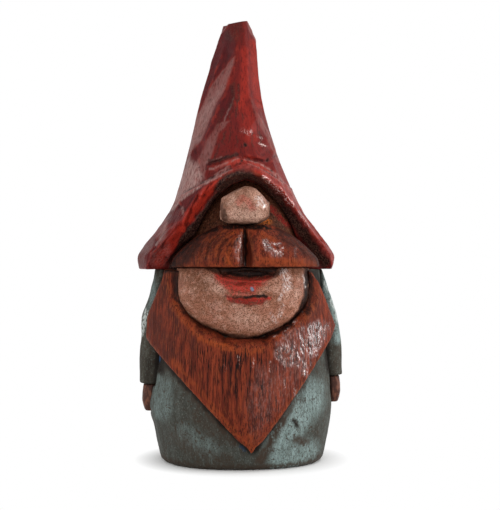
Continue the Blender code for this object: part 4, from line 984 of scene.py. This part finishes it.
MOUTH = (
    (2.8, 3.0, ((-9, 77.6), (-4, 76.8), (1, 76.3), (6, 76.6), (10, 77.4))),
    (0.5, 0.7, ((-5.3, 67.5), (-0.9, 67.4), (3.4, 67.8), (6.2, 68), (7.0, 67.6))),
)
LIPS = (
    (0.95, 2.0, ((-13.4, 76.9), (-7.9, 76.2), (-3, 75.8), (1.4, 75.6), (5.8, 75.8), (10.5, 76.4),
                 (9.1, 74.2), (5.6, 71.9), (3.2, 69.8), (-0.9, 69.0), (-5.3, 69.2), (-8.5, 70.8),
                 (-11.5, 73.6))),
    (0.6, 2.0, ((-8, 70.5), (2.5, 70.5), (3.4, 68), (-6, 67.8))),
    (1.0, 1.0, ((-8.6, 68.8), (-5, 67.6), (0, 67.4), (7.5, 67.8), (9.4, 67.4), (6, 65.2), (1.2, 64.2),
                (-2.1, 64.6), (-6.4, 65.8))),
)
# Painted shade at the mouth's corners, in the slit, under the lower lip and on the upper lip
MOUTH_SHADE = (
    (0.8, 1.4, ((-14.9, 78.4), (-12, 77.4), (-8, 76.4))),
    (0.7, 1.4, ((8, 76.2), (12, 76.8), (14, 77.6))),
    (0.6, 0.6, ((-8.6, 68.1), (-5.3, 67.5), (-1, 67.45))),
    (1.0, 0.8, ((-1, 67.45), (3.4, 67.8), (6.2, 68))),
    (1.0, 1.1, ((6.0, 68.1), (7.1, 67.6))),
    (0.45, 1.6, ((-6, 66.2), (0, 65.4), (6.6, 66))),
    (0.4, 1.0, ((-9, 73.4), (-4, 72.6), (-1, 72.8))),
)
# Painted shadow in the recess under the moustache
MOUTH_RECESS_SHADOW = (
    (1.0, 1.0, ((-13, 79), (-10, 76.6), (-7, 75.7), (-3, 75.1), (1.4, 74.8), (5.8, 75.1), (8.5, 75.8),
                (11, 76.8), (13, 79))),
)
FACE_FLECK = (
    (1.0, 0.8, ((1.5, 70.9), (1.9, 70.3))),
)
# Brown wash that is partly painted shade: on the right cheek, under the lower lip and round the chin
FACE_BROWN_AND_SHADE = (
    (0.9, 1.4, ((-5, 66.4), (0, 65.8), (6, 66.4))),
    (0.6, 3.5, ((-20, 70), (-15, 66))),
    (0.9, 6.0, ((-24, 76), (-18, 72))),
    (0.6, 3.0, ((-22, 67), (-17, 62))),
    (0.5, 3.0, ((-12, 67), (-7, 67.5))),
    (0.6, 3.0, ((9, 68), (12, 65))),
    (0.7, 2.4, ((18.6, 77.4), (22, 75.6))),
    (0.7, 2.5, ((-25, 66), (-20, 57.5), (-12, 53.8), (0, 52.6), (12, 54), (20, 59), (24, 66))),
)
FACE_PALE = (
    (0.6, 4.0, ((-15, 73), (-10, 70.6))),
    (0.4, 6.0, ((-4, 60), (4, 57))),
    (0.4, 4.0, ((12, 72), (18, 68))),
)
# Oil that shines, with pale painted highlights on it
FACE_VARNISH_AND_HIGHLIGHT = (
    (1.0, 2.6, ((14.6, 76.5), (16.2, 73.5), (15.6, 71.5))),
    (0.7, 1.2, ((14.2, 70), (12.4, 67))),
    (0.8, 1.4, ((13.8, 64), (12.7, 60.5))),
    (0.5, 1.4, ((9.1, 60.6), (11, 58))),
    (0.8, 0.8, ((22.3, 75.8), (23.3, 70.9))),
)


def carve_face(material):
    """The groove of the mouth, red lips, and cheeks that shine on the left with painted highlights.
    """
    face = Carving("face", voxel=0.36)
    face.cut(MOUTH)
    face.roughen(0.08, size=0.9)
    face.roughen(0.15, size=3.5, shift=6)
    face.wear(("beard", "moustache"), deep=0.12, seam=0.5)
    face.brush("red", patches=LIPS)
    face.brush("dirt_and_shade", MOUTH_SHADE, MOUTH_RECESS_SHADOW, wobble=0.4)
    face.brush("dirt_and_shade", CHIN_SEAM, wobble=0.5)
    face.brush("fleck", FACE_FLECK, wobble=0.2)
    face.brush("brown", FACE_BROWN_AND_SHADE)
    face.brush("pale", FACE_PALE)
    face.brush("gloss", FACE_VARNISH_AND_HIGHLIGHT)
    face.roughen(0.14, size=0.9, stretch=1.6, mask="gloss")
    face.hand_over(material)


NOSE_CUTS = (
    ((0, -40.2, 103), (0.05, -1, 0.05), 9),
    ((-6.4, -36, 106.6), (-0.62, -0.25, 0.75), 9),
    ((5.2, -36, 107.0), (0.62, -0.30, 0.72), 8),
    ((-9.2, -35, 102), (-1, -0.15, 0.05), 8),
    ((8.0, -35, 101.5), (1, -0.25, 0.05), 8),
    ((4.2, -38.4, 105.0), (0.5, -0.8, 0.35), 7),
    ((-4.2, -38.2, 105.6), (-0.35, -0.75, 0.55), 7),
    ((-1, -38.6, 98.6), (-0.05, -0.85, -0.5), 8),
    ((-7.4, -37.2, 99.2), (-0.65, -0.7, -0.3), 7),
    ((6.2, -37.0, 98.6), (0.6, -0.7, -0.4), 7),
    ((-0.8, -33, 95.7), (0, -0.15, -1), 12),
    ((-5.4, -32, 107.7), (-0.46, -0.1, 0.88), 12),
    ((6.1, -32, 106.5), (0.72, -0.1, 0.69), 10),
)
NOSE_RED = (
    (0.4, 2.0, ((-3.5, 103.5), (-2, 105), (0.5, 104), (1.5, 101.6))),
)
# Brown wash that is partly painted shade: on the nose's upper right and round its edge
NOSE_BROWN_AND_SHADE = (
    (0.5, 3.0, ((-4.4, 107.4), (-2.6, 105.8))),
    (0.8, 2.4, ((-5, 108.5), (2, 109.6))),
    (0.8, 1.7, ((-8.6, 104), (-8.8, 99), (-7.6, 96), (-2, 95.6), (4, 95.8), (7.4, 98), (8.6, 102))),
)
# Painted shade round the foot of the nose, where it sits on the moustache
NOSE_SHADE = (
    (0.8, 0.8, ((-9.6, 103), (-9.8, 98), (-8.4, 95.4), (-2, 95.0), (4.6, 95.2), (8.4, 98), (9.6, 102),
                (7.6, 106))),
    (0.7, 1.6, ((-9.2, 100.4), (-8.6, 96.4))),
)
NOSE_PALE = (
    (1.0, 4.0, ((-5, 98.6), (-1, 97.6), (4, 98.4))),
)
# Oil that shines, with a pale painted highlight on it
NOSE_VARNISH_AND_HIGHLIGHT = (
    (0.9, 1.8, ((3.6, 105.6), (5.4, 104.4), (6.0, 102.8))),
    (1.0, 1.2, ((4.2, 103.4), (3.8, 102.6))),
)


def carve_nose(material):
    """A ball pared into flats, that spreads where it sits on the moustache."""
    nose = Carving("nose", voxel=0.36)
    nose.widen(centre=0.6, height=95.5, reach=6.5, share=0.32)
    for flat_cut in NOSE_CUTS:
        nose.pare(*flat_cut)
    nose.sand(rounds=1)
    nose.roughen(0.10, size=0.9)
    nose.roughen(0.15, size=3, shift=3)
    nose.wear(("moustache", "head_block"), deep=0.12)
    nose.brush("red", NOSE_RED)
    nose.brush("brown", NOSE_BROWN_AND_SHADE)
    nose.brush("pale", NOSE_PALE)
    nose.brush("dirt_and_shade", NOSE_SHADE)
    nose.brush("gloss", NOSE_VARNISH_AND_HIGHLIGHT)
    nose.roughen(0.2, size=0.8, mask="gloss")
    nose.hand_over(material)


# Paler paint, which on the left, the side that faces the lamps, is also painted light
ROBE_PALE_AND_LIT = (
    (1.0, 9.0, ((13, 12), (20, 20), (26, 26))),
    (1.0, 8.0, ((14, 4), (24, 6))),
    (0.7, 7.0, ((22, 32), (28, 30))),
    (0.45, 6.0, ((-33, 32), (-33, 22))),
    (0.3, 6.0, ((-24, 14), (-14, 8))),
)
ROBE_BROWN = (
    (1.0, 3.0, ((5, 4), (8, 8), (10.5, 14), (14, 20))),
    (0.8, 2.5, ((14, 20), (18.5, 27), (23, 35))),
    (1.0, 1.0, ((18.2, 20), (20.3, 16.6))),
    (1.0, 1.0, ((19.3, 13), (23, 9.6))),
    (0.8, 2.6, ((19, 12), (24, 10))),
    (1.0, 3.0, ((-5, 12), (-14, 22), (-24, 34), (-31, 42))),
    (0.9, 2.6, ((-33, 1.5), (-20, 1.0), (0, 0.8), (14, 1.0), (30, 2))),
    (0.6, 5.0, ((-26, 12), (-18, 5), (-8, 4))),
    (0.5, 4.0, ((-20, 22), (-10, 12))),
)
# Painted shade along the beard's edges and beside the sleeves, and one dark spot
ROBE_SHADE = (
    (1.0, 1.5, ((18.6, 19.2), (19.6, 17.4))),
    (0.8, 1.2, ((-31, 40), (-20, 29), (-8, 16.5))),
    (0.8, 1.2, ((4, 8.5), (9.5, 17), (19, 30.5))),
    (1.0, 3.5, ((-33, 46), (-34, 38))),
    (1.0, 3.5, ((34, 48), (35, 38))),
)
ROBE_BLUE = (
    (0.7, 0.9, ((-1.8, 10), (-0.6, 8.4))),
    (0.8, 0.9, ((-33.6, 43), (-33.4, 41.5))),
    (0.8, 1.0, ((-31.6, 76.5), (-31.2, 75))),
)
# The slope of the left shoulder, on robe and sleeve
SHOULDER_CUT = ((34.4, -5, 71.9), (0.935, 0, 0.355), 13)


def carve_robe(material):
    """Broad knife strokes down the grain, and paler paint on the left that is partly painted light.
    """
    robe = Carving("robe_block", voxel=0.7)
    robe.build_up()
    robe.pare(*SHOULDER_CUT)
    robe.bulge(beyond=-30, height=24, reach=11, depth=1.3)
    off_the_floor = robe.points[:, 2] > 3 * MM
    robe.whittle(cuts=110, length=9, width=4, depth=0.35, allowed=off_the_floor)
    robe.roughen(0.15, size=2.5, stretch=2)
    robe.roughen(0.10, size=1.1, stretch=4, shift=7)
    arms = ("left_sleeve", "right_sleeve", "left_hand", "right_hand")
    robe.wear(("beard", *arms), deep=0.2, seam=1.0)
    robe.brush("light", ROBE_PALE_AND_LIT)
    robe.brush("brown", ROBE_BROWN)
    robe.brush("dirt_and_shade", ROBE_SHADE)
    robe.brush("blue", ROBE_BLUE)
    robe.hand_over(material)


# Paler paint along the shoulders, which is also painted light
SLEEVE_PALE_AND_LIT = (
    (0.85, 4.0, ((33, 74), (36.4, 66), (38.4, 58), (39.4, 50))),
    (0.5, 4.0, ((-38, 74), (-37, 64))),
)
# Painted shade along the sleeves' inner sides and low on the right one
SLEEVE_SHADE = (
    (0.9, 2.6, ((33, 60), (34, 40))),
    (0.9, 2.6, ((-33, 60), (-34, 40))),
    (0.5, 3.0, ((-38, 40), (-38, 33))),
)
# Painted highlights along the sleeves' outer edges
SLEEVE_HIGHLIGHTS = (
    (1.0, 1.6, ((-39.2, 61), (-40.2, 56), (-40.6, 52))),
    (1.0, 1.2, ((37.2, 63.4), (38.6, 60.4), (39.6, 57))),
    (0.9, 0.9, ((33.4, 72.6), (35.2, 69.4))),
    (0.6, 0.9, ((36.6, 66), (35.6, 63))),
)


def carve_sleeve(side, material):
    """Shorter strokes, painted shade on the inner side, and painted highlights along the outer edge.
    """
    sleeve = Carving(f"{side}_sleeve", voxel=0.6)
    sleeve.build_up()
    if side == "left":
        sleeve.pare(*SHOULDER_CUT)
    else:
        sleeve.bulge(beyond=-36, height=58, reach=10, depth=1.4)
    sleeve.whittle(cuts=24, length=7, width=3, depth=0.3)
    sleeve.roughen(0.12, size=1.6, stretch=3)
    sleeve.wear(("robe_block", "beard"), deep=0.18, seam=0.9)
    sleeve.brush("light", SLEEVE_PALE_AND_LIT)
    sleeve.brush("dirt_and_shade", SLEEVE_SHADE)
    sleeve.brush("edge_highlight", SLEEVE_HIGHLIGHTS)
    sleeve.hand_over(material)


def carve_hand(side, material):
    """Sanded only, with wash in the grooves of the fingers."""
    hand = Carving(f"{side}_hand", voxel=0.4)
    hand.wear(("robe_block", f"{side}_sleeve"), deep=0.12)
    hand.hand_over(material)


# Painted highlight: orange beside the nose
BROW_HIGHLIGHT = (
    (1.0, 1.9, ((6.6, 95.6), (8.0, 97.0), (9.2, 96.6))),
)
BROW_RED = (
    (1.0, 1.8, ((10.4, 102.4), (12, 100.4), (14.4, 97.9), (18, 95))),
)


def carve_brow(material):
    """The dark rough wood behind the nose."""
    brow = Carving("head_block", voxel=0.8)
    brow.roughen(0.25, size=1.8)
    brow.brush("warm_and_highlight", BROW_HIGHLIGHT)
    brow.brush("red", BROW_RED)
    brow.hand_over(material)


carve_robe(blue_grey_paint("blue_grey_oil_paint", "#3b3c37", light="#4d514c", dark="#352f28"))
carve_brow(recess_wash())
carve_face(flesh_paint("flesh_oil_paint", "#9a6652", light="#b88c7a", specks=0.9))
carve_nose(flesh_paint("pale_flesh_oil_paint", "#a97d6a", light="#bd9786", specks=0.75))
stain = brown_stain()
carve_moustache(stain)
carve_beard(stain)
carve_hat(red_glaze())
sleeve_paint = blue_grey_paint("brown_washed_oil_paint", "#38342c", light="#4d4d46", dark="#2c251f")
washed_flesh = hand_paint()
for side in ("left", "right"):
    carve_sleeve(side, sleeve_paint)
    carve_hand(side, washed_flesh)

# The dowels and pins are inside: they keep their own shape and only take the finish.
beech = bare_beech()
for name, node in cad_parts.items():
    if "dowel" in name or "pin" in name:
        node.data.materials.clear()
        node.data.materials.append(beech)


# Floor, light and camera

FIGURE_MIDDLE = Vector((0, 0, 90 * MM))
FLOOR_SHOWN = 31 * MM  # how far from the middle the card itself shows, with its shadow
FLOOR_ALL_WHITE = 44 * MM  # and where it has run out into plain white


def seen_directly(tree):
    """One for what the camera sees, also in gloss and through glass, and none for lighting."""
    path = add(tree, "LightPath").outputs
    seen = path["Is Camera Ray"]
    for ray in ("Is Glossy Ray", "Is Transmission Ray"):
        seen = add(tree, "Math", {0: seen, 1: path[ray]}, operation="MAXIMUM").outputs[0]
    return seen


def matt(name, colour):
    """Card or felt, whose fibres scatter the light: it has hardly any gleam from any side."""
    material = bpy.data.materials.new(name)
    material.use_nodes = True
    shader = material.node_tree.nodes["Principled BSDF"]
    shader.inputs["Base Color"].default_value = linear(colour)
    shader.inputs["Roughness"].default_value = 0.9
    shader.inputs["Specular IOR Level"].default_value = 0.1
    return material


def pale_floor():
    """White card that takes the shadow and runs out into the white background."""
    bpy.ops.mesh.primitive_circle_add(vertices=96, radius=3, fill_type="NGON")
    floor = bpy.context.object
    floor.name = "floor"
    material = matt("matt_white_card", "#f6f6f5")
    tree = material.node_tree
    card = tree.nodes["Principled BSDF"].outputs[0]
    place = add(tree, "TexCoord").outputs["Object"]
    away = add(tree, "VectorMath", {0: place}, operation="LENGTH").outputs["Value"]
    limits = {"Value": away, "From Min": FLOOR_SHOWN, "From Max": FLOOR_ALL_WHITE}
    far = add(tree, "MapRange", limits).outputs[0]
    blend = add(tree, "Math", {0: far, 1: seen_directly(tree)}, operation="MULTIPLY").outputs[0]
    white = add(tree, "Emission", {"Color": (1, 1, 1, 1), "Strength": 1.0}).outputs[0]
    mix = add(tree, "MixShader", {0: blend, 1: card, 2: white})
    tree.links.new(mix.outputs[0], tree.nodes["Material Output"].inputs["Surface"])
    floor.data.materials.append(material)


def black_flag(place, size):
    """A dark card off to one side, so that less white gleams on the facets that face it."""
    bpy.ops.mesh.primitive_plane_add(size=1, location=place)
    flag = bpy.context.object
    flag.name = "black_flag"
    flag.scale = (*size, 1)
    flag.rotation_euler = (FIGURE_MIDDLE - Vector(place)).to_track_quat("Z", "Y").to_euler()
    flag.data.materials.append(matt("black_felt", "#2b2b2b"))
    flag.visible_camera = False


def studio_world(strength):
    """Even light from all round; the background itself is white."""
    world = bpy.data.worlds.new("studio")
    world.use_nodes = True
    tree = world.node_tree
    tree.nodes.clear()
    limits = {"Value": seen_directly(tree), "To Min": strength, "To Max": 1.0}
    level = add(tree, "MapRange", limits).outputs[0]
    light = add(tree, "Background", {"Color": (1, 1, 1, 1), "Strength": level}).outputs[0]
    add(tree, "OutputWorld", {"Surface": light})
    bpy.context.scene.world = world


def soft_lamp(name, place, size, power):
    """A lit panel, with its place and size in metres and its power in watts."""
    lamp = bpy.data.lights.new(name, "AREA")
    lamp.shape = "RECTANGLE"
    lamp.size, lamp.size_y = size
    lamp.energy = power
    holder = bpy.data.objects.new(name, lamp)
    holder.location = place
    aim = FIGURE_MIDDLE - Vector(place)
    holder.rotation_euler = aim.to_track_quat("-Z", "Y").to_euler()
    bpy.context.scene.collection.objects.link(holder)


pale_floor()
studio_world(strength=0.35)
black_flag(place=(-0.62, 0.55, 0.20), size=(0.70, 0.60))
soft_lamp("window_right", place=(0.98, -0.20, 0.24), size=(0.32, 0.45), power=7)
soft_lamp("window_left", place=(-0.95, -0.05, 0.30), size=(0.50, 0.65), power=4)
soft_lamp("front_fill", place=(-0.20, -1.3, 0.35), size=(1.1, 0.9), power=8)
soft_lamp("skylight", place=(0.42, -0.10, 0.95), size=(0.22, 0.22), power=2.2)

# The photograph's own view, with its focal length matched in its pixels
CAMERA_DISTANCE = 495 * MM
CAMERA_OFFSET = 3.5 * MM
CAMERA_HEIGHT = 83.6 * MM
CAMERA_AZIMUTH = math.radians(-4)
PIXELS_HIGH = 510
FOCAL_PIXELS = 1201.5

camera = bpy.data.cameras.new("camera")
camera.sensor_fit = "VERTICAL"
camera.sensor_height = 36
camera.lens = camera.sensor_height * FOCAL_PIXELS / PIXELS_HIGH
camera.clip_start = 0.01
holder = bpy.data.objects.new("camera", camera)
holder.matrix_world = (
    Matrix.Rotation(CAMERA_AZIMUTH, 4, "Z")
    @ Matrix.Translation((CAMERA_OFFSET, -CAMERA_DISTANCE, CAMERA_HEIGHT))
    @ Matrix.Rotation(math.radians(90), 4, "X")
)
bpy.context.scene.collection.objects.link(holder)
bpy.context.scene.camera = holder
bpy.context.scene.view_settings.view_transform = "Standard"
